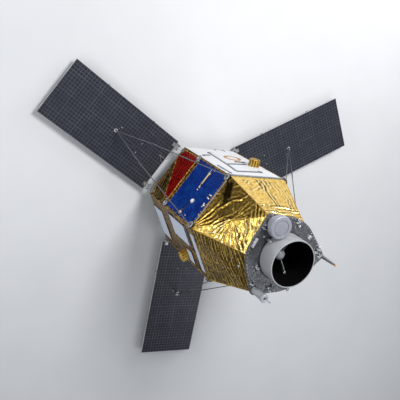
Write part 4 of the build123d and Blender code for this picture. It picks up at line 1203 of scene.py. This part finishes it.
class SATELLITE_OT_plate(bpy.types.Operator):
    """Make the foil-covered instrument plate and the small fittings that crowd it"""
    bl_idname = "satellite.plate"
    bl_label = "Instrument plate"

    def execute(self, context):
        # A closed ring: rows run from the outer edge over the top to the tube's hole and back.
        columns = 420
        turn = circle_turns(columns)[None]
        reach, hole = plate_reach(turn), TUBE_R + 0.0008
        share = np.concatenate([[1, 1], 1 - 0.006 * np.arange(1, 3),
                                np.linspace(0.975, 0.012, 34), [0, 0]])
        rows = len(share)
        level = np.concatenate([[PLATE_LOW, PLATE_TOP - 0.004, PLATE_TOP - 0.0012],
                                np.full(rows - 4, PLATE_TOP), [PLATE_LOW]])
        radius = hole + share[:, None] * (reach - hole)
        x, y = radius * np.cos(turn), radius * np.sin(turn)
        folds = 0.6 * crumple(x, y, 0.11, 201, 4) + 0.4 * crumple(x, y, 0.045, 211, 3)
        on_top = np.zeros(rows)
        on_top[4:-3] = 1
        z = level[:, None] + (0.0030 * np.clip(folds, -1, 1) - 0.0026) * on_top[:, None]
        first = np.arange(columns)
        beside, last = (first + 1) % columns, (rows - 1) * columns
        below = np.stack([last + first, last + beside, beside, first], -1)
        quads = np.concatenate([grid_quads(rows, columns, True), below])
        # The stored number is lighter on the crumples' crests and darker in their creases: painted
        # highlight and painted shade.
        Shape().add(np.stack([x, y, z], -1), quads, value=0.5 + 0.4 * crests(folds, 2)).piece(
            "plate_foil", "plate_silver", replaces=["instrument_plate"])
        # Clusters of blocks, cups and dark bars, each ringed by screws.
        draw = np.random.default_rng(7)
        silver, dark = Shape(), Shape()
        for x, y, spread, count in CLUSTERS:
            for number in range(count):
                at = np.array([x, y]) + draw.uniform(-spread, spread, 2) * 0.8
                size = draw.uniform([0.016, 0.016, 0.014], [0.040, 0.030, 0.034])
                spin = draw.uniform(0, np.pi)
                along = np.cos(spin), np.sin(spin)
                base = np.array([at[0], at[1], PLATE_TOP - 0.004])
                if number % 3 == 0:
                    silver.block(size, base + [0, 0, size[2] / 2], along, value=0.6)
                elif number % 3 == 1:
                    r, h = size[0] * 0.42, size[2] * 1.2
                    silver.turned(softened([(0, 0), (r, 0), (r, h), (0.6 * r, h),
                                            (0.6 * r, h * 0.8), (0, h * 0.8)], 0.003), 16, base)
                else:
                    dark.block(size * [1.3, 0.5, 0.5], base + [0, 0, size[2] * 0.26 + 0.003], along)
            silver.screws(0.007, 0.006, heads_round((x, y), 1.15 * spread, circle_turns(5) + x * 9,
                                                    PLATE_TOP - 0.002), (0, 0, 1), 0.7)
        # A long bracket on the plate's edge, a square block at the tube's foot, and a lone stud.
        for at, size, lean in (((-0.084, 0.512), (0.150, 0.036, 0.026), 0.16),
                               ((0.060, 0.352), (0.036, 0.030, 0.080), 0.2),
                               ((0.059, 0.453), (0.030, 0.030, 0.020), 0.5)):
            silver.block(size, [*at, PLATE_TOP + size[2] / 2 - 0.004], (np.cos(lean), np.sin(lean)),
                         0.3, 0.9)
        rim = circle_turns(60) + 0.05
        silver.screws(0.0055, 0.0045, heads_round((0, 0), plate_reach(rim) - 0.014, rim,
                                                  PLATE_TOP - 0.003), (0, 0, 1), 0.6)
        # Two studs on the tiled face's side of the cone, by shares of that facet's two edges.
        foot, first, second = (cone_corner(120, False), cone_corner(120, True),
                               cone_corner(180, True))
        facing = np.cross(second - first, foot - first)
        facing *= np.sign(facing @ (first + second)) / np.linalg.norm(facing)
        for along, down, r in ((0.423, 0.154, 0.016), (0.289, 0.262, 0.009)):
            stud = softened([(0, -0.01), (r, -0.01), (r, 0.016), (0.6 * r, 0.021), (0, 0.021)],
                            0.002, 3)
            silver.turned(stud, 20, first + along * (second - first) + down * (foot - first),
                          facing)
        silver.piece("plate_fittings", "bracket_silver", "fitting_light")
        dark.piece("plate_fittings_dark", "baffle_black", "fitting_dark")
        return {"FINISHED"}


def band(inner, outer, lowest, highest, soft, steps=4):
    """A ring's closed profile, nearly a rectangle."""
    return softened([(inner, lowest), (outer, lowest), (outer, highest), (inner, highest)],
                    soft, steps)


class SATELLITE_OT_telescope(bpy.types.Operator):
    """Make the telescope's barrel, black liner with baffle rings, painted contact shadow and vane
    clamps
    """
    bl_idname = "satellite.telescope"
    bl_label = "Telescope"

    def execute(self, context):
        # The barrel, the liner and the collar, a painted contact shadow, are profiles turned about
        # the axis.
        bore, foot = BORE_R + 0.001, TUBE_LOW + 0.002
        wall = softened([(bore, foot), (TUBE_R, foot), (TUBE_R, PLATE_TOP + 0.02),
                         (TUBE_R, TUBE_RIM - 0.060), (TUBE_R, TUBE_RIM), (bore, TUBE_RIM)],
                        0.004, 5)
        Shape().turned(wall, 200, closed=True).piece("telescope_barrel", "tube_white",
                                                     replaces=["telescope_tube"])
        back, tooth, floor = BORE_R - 0.001, BORE_R - 0.0065, TUBE_LOW + 0.0115
        inner = [(0, TUBE_LOW), (BORE_R + 0.0008, TUBE_LOW), (BORE_R + 0.0008, TUBE_RIM - 0.005),
                 (back, TUBE_RIM - 0.006)]
        for level in np.linspace(TUBE_RIM - 0.03, PLATE_LOW - 0.25, 9):
            inner += [(back, level), (tooth, level - 0.001), (tooth, level - 0.003),
                      (back, level - 0.006)]
        Shape().turned(inner + [(back, floor), (0, floor)], 160).piece(
            "telescope_liner", "baffle_black")
        # The collar is a dark ring round the tube's foot, painted as the tube's contact shadow on
        # the plate.
        foot = PLATE_TOP - 0.003
        collar = softened([(TUBE_R - 0.001, foot), (TUBE_R + 0.019, foot),
                           (TUBE_R + 0.019, PLATE_TOP + 0.004),
                           (TUBE_R - 0.001, PLATE_TOP + 0.005)], 0.001)
        Shape().turned(collar, 160, closed=True).piece("telescope_collar", "baffle_black",
                                                       "fitting_dark")
        clamps = Shape()
        for bearing in (0, 120, 240):
            outward, sideways = face_axes(bearing)
            for aside in (-0.012, 0.012):
                at = outward * (BORE_R - 0.012) + sideways * aside + [0, 0, HUB_LOW + 0.030]
                clamps.block((0.022, 0.012, 0.030), at, outward, 0.35, 0.6)
        clamps.piece("vane_clamps", "vane_grey")
        return {"FINISHED"}


class SATELLITE_OT_instruments(bpy.types.Operator):
    """Make the capped drum, the small barrel and the ringed mast on the plate"""
    bl_idname = "satellite.instruments"
    bl_label = "Plate instruments"

    def execute(self, context):
        lo, hi = low("capped_drum"), high("capped_drum")
        at, tall, r = (lo + hi) / 2 * [1, 1, 0] + [0, 0, lo[2]], hi[2] - lo[2], (hi[0] - lo[0]) / 2
        Shape().turned(softened([
            (0, 0), (0.1175, 0), (0.1175, 0.012), (0.113, 0.016), (0.113, 0.078), (0.130, 0.083),
            (r - 0.004, 0.083), (r - 0.001, 0.087), (r - 0.001, tall - 0.034), (r, tall - 0.030),
            (r, tall - 0.011), (r - 0.011, tall - 0.001), (r - 0.016, tall), (0.1090, tall),
            (0.1090, tall - 0.006), (0.1035, tall - 0.006), (0.1035, tall - 0.0012),
            (0.060, tall - 0.0006), (0, tall - 0.0004)], 0.0035, 4), 120, at).piece(
            "capped_drum_body", "drum_grey", replaces=["capped_drum"])
        groove = band(0.1030, 0.1095, tall - 0.0063, tall - 0.0050, 0.0004, 2)
        Shape().turned(groove, 96, at, closed=True).piece(
            "capped_drum_groove", "baffle_black", "fitting_dark", smooth=True)

        lo, hi = low("small_barrel"), high("small_barrel")
        r, tall = hi[1], hi[2] - lo[2]
        at = np.array([lo[0] + r, 0.0, lo[2]])
        barrel = Shape().turned(softened([
            (0, 0), (r - 0.001, 0), (r - 0.001, 0.010), (r - 0.006, 0.012),
            (r - 0.006, tall - 0.046), (r, tall - 0.042), (r, tall - 0.006), (r - 0.006, tall),
            (0.034, tall), (0.030, tall - 0.006), (0.022, tall - 0.008), (0.0185, tall - 0.004),
            (0.0175, tall - 0.028), (0, tall - 0.028)], 0.003, 4), 72, at)
        nub = np.zeros((7, 3))
        nub[:, 1] = (-r * 0.4, -r - 0.010, -r - 0.014, -r - 0.058, -r - 0.060, lo[1] + 0.004,
                     lo[1] + 0.0005)
        barrel.bar(nub + [at[0], 0, hi[2] - 0.016],
                   (0.009, 0.009, 0.0075, 0.0075, 0.011, 0.011, 0.008), 20)
        barrel.piece("small_barrel_body", "barrel_grey", replaces=["small_barrel"])
        pupil = [(0, tall - 0.0285), (0.0174, tall - 0.0285), (0.0174, tall - 0.026),
                 (0, tall - 0.025)]
        Shape().turned(pupil, 32, at).piece("small_barrel_glass", "baffle_black", "fitting_dark")

        lo, hi = low("tapered_mast"), high("tapered_mast")
        at, tall = (lo + hi) / 2 * [1, 1, 0] + [0, 0, lo[2]], hi[2] - lo[2]
        up = np.linspace(0, 0.90 * tall, 190)
        taper = 0.024 + (0.012 - 0.024) * up / tall
        ringed = np.clip((0.80 * tall - up) / 0.01, 0, 1)
        rings = np.clip(1.6 * np.cos(2 * np.pi * up / 0.024) - 0.5, 0, 1)
        mast = np.stack([taper + 0.0042 * ringed * rings, up], -1)
        Shape().turned(np.concatenate([[(0, 0)], mast, [(0, 0.90 * tall)]]), 32, at).piece(
            "ringed_mast", "mast_grey", replaces=["tapered_mast"])
        tip = softened([(0, 0.895 * tall), (0.0145, 0.895 * tall), (0.0165, 0.92 * tall),
                        (0.0165, 0.965 * tall), (0.0105, tall - 0.0005), (0, tall - 0.0002)],
                       0.003, 4)
        Shape().turned(tip, 28, at).piece("mast_tip", "rod_gold", "tip_gold")
        return {"FINISHED"}


# ------------------------------------------------------------------ details of the faces
# Dark blocks, pale studs and gold clips on the first radiator: side, up, then size or radius
# The third dark block is a dark strip painted as the long gold clip's shadow.
DARK_BLOCKS = ((0.345, 1.140, (0.044, 0.046, 0.028)), (-0.052, 1.512, (0.040, 0.028, 0.03)),
               (-0.225, 1.172, (0.190, 0.012, 0.012)))
PALE_STUDS = ((-0.408, 1.202, 0.010), (0.379, 1.297, 0.008), (0.244, 1.569, 0.007),
              (-0.020, 1.530, 0.012), (0.100, 1.545, 0.012), (0.128, 1.520, 0.009),
              (0.072, 1.510, 0.008), (-0.075, 1.536, 0.011))
GOLD_CLIPS = ((0.388, 1.138, (0.050, 0.040, 0.030)), (-0.030, 1.500, (0.030, 0.020, 0.022)),
              (-0.241, 1.151, (0.206, 0.030, 0.024)), (-0.082, 1.144, (0.034, 0.020, 0.018)),
              (-0.034, 1.142, (0.020, 0.018, 0.016)), (-0.407, 1.196, (0.020, 0.020, 0.016)),
              (0.092, 1.525, (0.040, 0.014, 0.016)), (-0.070, 1.505, (0.022, 0.022, 0.024)))


class SATELLITE_OT_radiator_details(bpy.types.Operator):
    """Make the fittings, studs, dark cable and a clip's painted shadow on the blue radiator"""
    bl_idname = "satellite.radiator_details"
    bl_label = "Radiator details"

    def execute(self, context):
        dark, pale, gold, silver = Shape(), Shape(), Shape(), Shape()
        cable = resampled([(0.152, 1.200), (0.210, 1.190), (0.300, 1.160), (0.372, 1.142)], 0.01)[0]
        dark.bar(on_face(90, cable[:, 0], FACE_OUT + 0.004, cable[:, 1]), 0.0045, 8, (0, 1, 0))
        for side, up, size in DARK_BLOCKS:
            dark.face_block(90, size, side, FACE_OUT + 0.008, up, 0.4)
        for side, up, r in PALE_STUDS:
            stud = softened([(0, 0), (r, 0), (r, r), (0.5 * r, 1.3 * r), (0, 1.3 * r)], 0.002, 3)
            pale.turned(stud, 14, on_face(90, side, FACE_OUT - 0.001, up), (0, 1, 0))
        for side, up, size in GOLD_CLIPS:
            gold.face_block(90, size, side, FACE_OUT + 0.006, up, 0.35, 0.7)
        x, _, z = (low("round_sensor") + high("round_sensor")) / 2
        dome = softened([(0, 0), (0.024, 0), (0.024, 0.010), (0.017, 0.015), (0.012, 0.013),
                         (0, 0.012)], 0.003)
        pale.turned(dome, 32, [x, high("round_sensor")[1] - 0.006, z], (0, 1, 0))
        flange = softened([(0, 0), (0.042, 0), (0.042, 0.005), (0.033, 0.009), (0, 0.009)], 0.002)
        silver.turned(flange, 32, [x, FACE_OUT - 0.001, z], (0, 1, 0))
        dark.piece("radiator_cable", "baffle_black", "fitting_dark")
        pale.piece("radiator_studs", "sensor_white")
        gold.piece("radiator_clips", "rod_gold")
        silver.piece("sensor_flange", "bracket_silver")
        return {"FINISHED"}


# Seams of the white face, each a raised duct with a dark strip beside it painted as its shadow:
# path and width
SEAMS = (([(0.166, 0.339), (0.190, 0.962), (0.232, 1.355), (-0.216, 1.298)], 0.040),
         ([(0.182, 0.945), (-0.195, 0.887)], 0.030), ([(0.390, 0.509), (0.228, 0.461)], 0.012),
         ([(0.412, 1.083), (0.398, 1.490)], 0.030))
# Its dark marks: the two ends, width and rise
MARKS = (((-0.059, 0.774), (-0.240, 0.781), 0.026, 0.014),
         ((0.186, 0.300), (0.150, 0.352), 0.030, 0.014),
         ((-0.205, 1.262), (-0.226, 1.345), 0.030, 0.015),
         ((-0.060, 0.046), (-0.100, 0.046), 0.018, 0.008),
         ((-0.215, 0.024), (-0.262, 0.024), 0.012, 0.006),
         ((-0.235, 0.089), (-0.255, 0.089), 0.014, 0.008),
         ((0.355, 0.535), (0.395, 0.520), 0.024, 0.012),
         ((0.136, 0.312), (0.160, 0.330), 0.022, 0.012))
# Frames round the white tiles: lowest and highest side, lowest and highest up
TILE_FRAMES = ((-0.250, 0.322, 0.009, 0.362), (-0.365, 0.020, 0.712, 1.283),
               (0.142, 0.390, 1.038, 1.236))


def rim_screws(shape, bearing, sides, ups, columns, rows, radius, rise):
    """Screws along a panel's four edges: at both sides for each of the rows' heights, and at both
    ups for each of the columns' sides."""
    places = np.array([(s, u) for s in sides for u in rows]
                      + [(s, u) for u in ups for s in columns])
    shape.screws(radius, rise, on_face(bearing, places[:, 0], FACE_OUT, places[:, 1]),
                 face_axes(bearing)[0], 0.4)


class SATELLITE_OT_face_details(bpy.types.Operator):
    """Make the white face's seams, their painted shadows and marks, and the tiled face's rail and
    frames
    """
    bl_idname = "satellite.face_details"
    bl_label = "Face details"

    def execute(self, context):
        duct, dark, screws, frames = Shape(), Shape(), Shape(), Shape()
        for path, width in SEAMS:
            duct.strip(WHITE, FACE_OUT, path, width, 0.012, 0.5, 0.01, 9, 0.1)
            # A dark strip beside each duct, painted as the duct's shadow.
            dark.strip(WHITE, FACE_OUT, np.array(path) + [-0.004, 0.55 * width + 0.004], 0.016,
                       0.0055, 0.5, 0.01)
        for first, last, width, rise in MARKS:
            dark.strip(WHITE, FACE_OUT, [first, last], width, rise, 0.5, 0.008, 7)
        dark.strip(TILED, CORE_OUT, [(-0.400, 1.305), (0.025, 1.300), (0.030, 1.470)], 0.030, 0.011,
                   0.5, 0.01, 7, 0.5)
        duct.strip(TILED, CORE_OUT, [(-0.405, 1.335), (0.000, 1.330)], 0.018, 0.013, 0.5, 0.01, 7,
                   0.3)
        for bearing, left, right in ((WHITE, -0.436, 0.440), (REAR, -0.436, 0.436)):
            rim_screws(screws, bearing, (left, right), (0.035, 1.535),
                       np.linspace(left + 0.06, right - 0.06, 6), np.linspace(0.135, 1.485, 11),
                       0.0065, 0.0035)
        left, right, bottom, top = RADIATOR
        for bearing in WING_BEARINGS:
            rim_screws(screws, bearing, (left + 0.012, right - 0.012),
                       (bottom + 0.012, top - 0.012), np.linspace(left + 0.12, right - 0.12, 6),
                       np.linspace(bottom + 0.09, top - 0.12, 6), 0.0055, 0.0028)
        outward = face_axes(WHITE)[0]
        middle = (low("ring_band") + high("ring_band")) / 2
        Shape().turned(band(0.0930, 0.1450, -0.001, 0.0026, 0.0012, 3), 80,
                       middle + outward * (FACE_OUT - middle @ outward), outward, True).piece(
            "ring_band_face", "gold_band", replaces=["ring_band"])
        for left, right, bottom, top in TILE_FRAMES:
            corners = [(left, bottom), (right, bottom), (right, top), (left, top), (left, bottom)]
            frames.strip(TILED, CORE_OUT, corners, 0.012, 0.0085, 0.30, 0.01, 7, 0.4, 33)
        frames.piece("tile_frames", "gold_foil", "gold_trim")
        duct.piece("face_ducts", "edge_metal", "rail_grey")
        dark.piece("face_marks", "baffle_black", "fitting_dark")
        screws.piece("panel_screws", "edge_metal")
        return {"FINISHED"}


def wing_fittings(number, bearing):
    """Make the spring housings, knob caps, studs, wire, clips and screwed feet of one wing."""
    sideways = face_axes(bearing)[1]
    wing = Shape()
    drum = softened([(0, -0.016), (0.026, -0.016), (0.034, -0.011), (0.034, 0.011),
                     (0.026, 0.016), (0.014, 0.016), (0.012, 0.020), (0, 0.020)], 0.004, 4)
    for side in (-0.443, 0.443, -0.361, 0.361):
        wing.turned(drum, 32, on_face(bearing, side, HINGE_OFF, HINGE_UP),
                    sideways * np.sign(side))
    cap = softened([(0, 0), (0.017, 0), (0.017, 0.006), (0.010, 0.0135), (0, 0.015)], 0.004, 4)
    for sign in (-1, 1):
        wing.turned(cap, 24, on_face(bearing, sign * 0.0195, KNOB_OUT, KNOB_UP), sideways * sign)
    for side, out, r in ((0.0855, 1.406, 0.011), (-0.0855, 1.406, 0.011),
                         (-0.091, 1.849, 0.011), (-0.055, 1.872, 0.007)):
        stud = softened([(0, 0), (r, 0), (r, 0.004), (0.4 * r, 0.009), (0, 0.009)], 0.002, 3)
        wing.turned(stud, 16, on_face(bearing, side, out, WING_UP))
    wing.bar(on_face(bearing, np.array([-0.117, -0.105, -0.060, -0.045]),
                     np.array([1.023, 1.010, 0.950, 0.925]), WING_UP + 0.008), 0.0040, 8)
    clip = softened([(0, -0.016), (0.011, -0.016), (0.011, 0.012), (0.007, 0.018), (0, 0.018)],
                    0.003, 3)
    for side in (-0.4885, 0.4885):
        for out in (1.470, 2.425):
            wing.turned(clip, 16, on_face(bearing, side, out, WING_UP - 0.006))
    for side in (-HINGE_SIDE, HINGE_SIDE):
        # A block's own x, y and z run sideways, out and up here, so its faces are reversed.
        points, quads, ends = rounded_block((0.064, 0.060, 0.006))
        x, y, z = points.T
        wing.add(on_face(bearing, side + x, WING_IN + 0.028 + y, WING_UP + 0.001 + z),
                 quads[:, ::-1], ends[:, ::-1])
        sides, outs = np.meshgrid([side - 0.02, side, side + 0.02],
                                  [WING_IN + 0.012, WING_IN + 0.040], indexing="ij")
        wing.screws(0.0045, 0.0035, on_face(bearing, sides, outs, WING_UP + 0.0035),
                    (0, 0, 1), 0.7)
    wing.piece(f"wing_fittings_{number}", "bracket_silver", body=f"wing_{number}")


class SATELLITE_OT_bracket_details(bpy.types.Operator):
    """Make the screws, caps and rims on the wing brackets and hinges, the painted shade round them,
    and the wings' fittings
    """
    bl_idname = "satellite.bracket_details"
    bl_label = "Bracket details"

    def execute(self, context):
        screws, caps, gaps = Shape(), Shape(), Shape()
        collar = softened([(0.0345, 0.0), (0.0388, 0.0), (0.0388, 0.0135), (0.0345, 0.0150)],
                          0.001, 3)
        flange = softened([(0.0450, 0), (0.0530, 0), (0.0530, 0.014), (0.0500, 0.017),
                           (0.0450, 0.017)], 0.001, 3)
        # The groove is a black ring painted as shade at the foot of the gap between collar and
        # flange; the shadow is a black ring painted as the flange's shadow on the face.
        groove = band(0.0384, 0.0456, 0.0005, 0.003, 0.0004, 2)
        shadow = band(0.0525, 0.0600, 0.0002, 0.0135, 0.0006, 2)
        cap = softened([(0, 0.026), (0.0185, 0.026), (0.0185, 0.034), (0.008, 0.039), (0, 0.039)],
                       0.003)
        six, four = circle_turns(6) + 0.4, np.radians([20, 110, 200, 290])
        for number, bearing in enumerate(WING_BEARINGS, start=1):
            outward = face_axes(bearing)[0]
            for up in (UPPER_HUB_UP, LOWER_HUB_UP):
                for side in (-BRACKET_SIDE, BRACKET_SIDE):
                    here = on_face(bearing, side, FACE_OUT, up)
                    screws.screws(0.0050, 0.0045, on_face(
                        bearing, side + 0.029 * np.cos(six), FACE_OUT + HUB_RISE,
                        up + 0.029 * np.sin(six)), outward, 0.7)
                    caps.turned(collar, 40, here, outward, True)
                    caps.turned(flange, 40, here - 0.002 * outward, outward, True)
                    gaps.turned(groove, 40, here, outward, True)
                    gaps.turned(shadow, 40, here, outward, True)
                    # Dark discs painted as the shade in the flange's holes.
                    gaps.screws(0.0095, 0.0030, on_face(
                        bearing, side + 0.017 * np.cos(four), FACE_OUT + HUB_RISE,
                        up + 0.017 * np.sin(four)), outward)
                    if up == LOWER_HUB_UP:
                        caps.turned(cap, 28, here, outward)
            for side in (-HINGE_SIDE, HINGE_SIDE):
                sides, ups = np.meshgrid([side - 0.0135, side + 0.0135], [0.040, 0.075],
                                         indexing="ij")
                screws.screws(0.0045, 0.004, on_face(bearing, sides, CORE_OUT + 0.0128, ups),
                              outward, 0.7)
            wing_fittings(number, bearing)
        caps.piece("bracket_rims", "bracket_silver", "fitting_light")
        gaps.piece("bracket_gaps", "baffle_black", "fitting_dark", smooth=True)
        screws.piece("bracket_screws", "bracket_silver", "ring_metal")
        return {"FINISHED"}


# ------------------------------------------------------------------ wings
def cell_edges(count, start, end, wider, gap):
    """Both edges of every cell in a row; the gap at each sixth line, from `wider` on, is wider."""
    lines = np.linspace(start, end, count + 1)
    gaps = np.where(np.arange(count + 1) % 6 == wider, 1.7, 1.0) * gap
    return lines[:-1] + gaps[:-1] / 2, lines[1:] - gaps[1:] / 2


class SATELLITE_OT_wing_cells(bpy.types.Operator):
    """Lay solar cells on both sides of the three wings"""
    bl_idname = "satellite.wing_cells"
    bl_label = "Wing cells"

    def execute(self, context):
        settings = context.scene.satellite_wings
        margin, slope = 0.006, 0.0012
        x0, x1 = cell_edges(settings.across, -WING_HALF + margin, WING_HALF - margin, 3,
                            settings.gap)
        y0, y1 = cell_edges(settings.along, WING_IN + margin, WING_TIP - margin, 5, settings.gap)
        x0, y0 = np.meshgrid(x0, y0)
        x1, y1 = np.meshgrid(x1, y1)
        x0, x1, y0, y1 = (part.ravel()[:, None] for part in (x0, x1, y0, y1))
        # A cell is a low frustum of eight points, four at its foot and four at its top.
        side = np.concatenate([x0, x1, x1, x0, x0 + slope, x1 - slope, x1 - slope, x0 + slope], 1)
        out = np.concatenate([y0, y0, y1, y1, y0 + slope, y0 + slope, y1 - slope, y1 - slope], 1)
        lift = np.array([-1, -1, -1, -1, 1, 1, 1, 1]) * settings.rise
        faces = np.array([[4, 5, 6, 7], [0, 1, 5, 4], [1, 2, 6, 5], [2, 3, 7, 6], [3, 0, 4, 7]])
        count = len(side)
        every = (faces + 8 * np.arange(count)[:, None, None]).reshape(-1, 4)
        flat = np.stack([side.ravel(), out.ravel()], -1)
        for number, bearing in enumerate(WING_BEARINGS, start=1):
            draw = np.random.default_rng(300 + number)
            shade = np.repeat(np.clip(draw.normal(0.5, 0.13, count), 0.1, 0.9), 8)
            # On a face, sideways x outward points down, so the upper cells are turned round.
            for name, up, finish, quads in (
                    ("upper", WING_UP + lift, "cell_grey", every[:, ::-1]),
                    ("lower", WING_LOW - BASE - lift, "cell_blue", every)):
                Shape().add(on_face(bearing, side, out, up), quads, value=shade).piece(
                    f"wing_cells_{name}_{number}", "wing_panel", finish, body=f"wing_{number}",
                    smooth=False, uv=flat)
        return {"FINISHED"}


# ------------------------------------------------------------------ panel and registration
PIECES = (
    SATELLITE_OT_stage, SATELLITE_OT_carried, SATELLITE_OT_bus_foil, SATELLITE_OT_cone_foil,
    SATELLITE_OT_red_shield, SATELLITE_OT_panel_trims, SATELLITE_OT_gold_boxes, SATELLITE_OT_plate,
    SATELLITE_OT_telescope, SATELLITE_OT_instruments, SATELLITE_OT_radiator_details,
    SATELLITE_OT_face_details, SATELLITE_OT_bracket_details, SATELLITE_OT_wing_cells,
)
SETTINGS = {
    "satellite_stage": StageSettings, "satellite_foil": FoilSettings,
    "satellite_finish": FinishSettings, "satellite_wings": WingSettings,
}


class SATELLITE_PT_pieces(bpy.types.Panel):
    """Lists the settings and the pieces in the 3D view's sidebar"""
    bl_idname = "SATELLITE_PT_pieces"
    bl_label = "Satellite"
    bl_space_type = "VIEW_3D"
    bl_region_type = "UI"
    bl_category = "Satellite"

    def draw(self, context):
        for settings in SETTINGS:
            group = getattr(context.scene, settings)
            for name in group.__annotations__:
                self.layout.prop(group, name)
        for piece in PIECES:
            self.layout.operator(piece.bl_idname)


def register():
    """Add the settings, the operators and the panel to Blender."""
    for name, group in SETTINGS.items():
        bpy.utils.register_class(group)
        setattr(bpy.types.Scene, name, bpy.props.PointerProperty(type=group))
    for piece in PIECES + (SATELLITE_PT_pieces,):
        bpy.utils.register_class(piece)


def unregister():
    """Take them out again."""
    for piece in (SATELLITE_PT_pieces,) + PIECES[::-1]:
        bpy.utils.unregister_class(piece)
    for name, group in SETTINGS.items():
        delattr(bpy.types.Scene, name)
        bpy.utils.unregister_class(group)


def main():
    """Build every piece in order."""
    register()
    for piece in PIECES:
        family, name = piece.bl_idname.split(".")
        getattr(getattr(bpy.ops, family), name)()


if __name__ == "__main__":
    main()
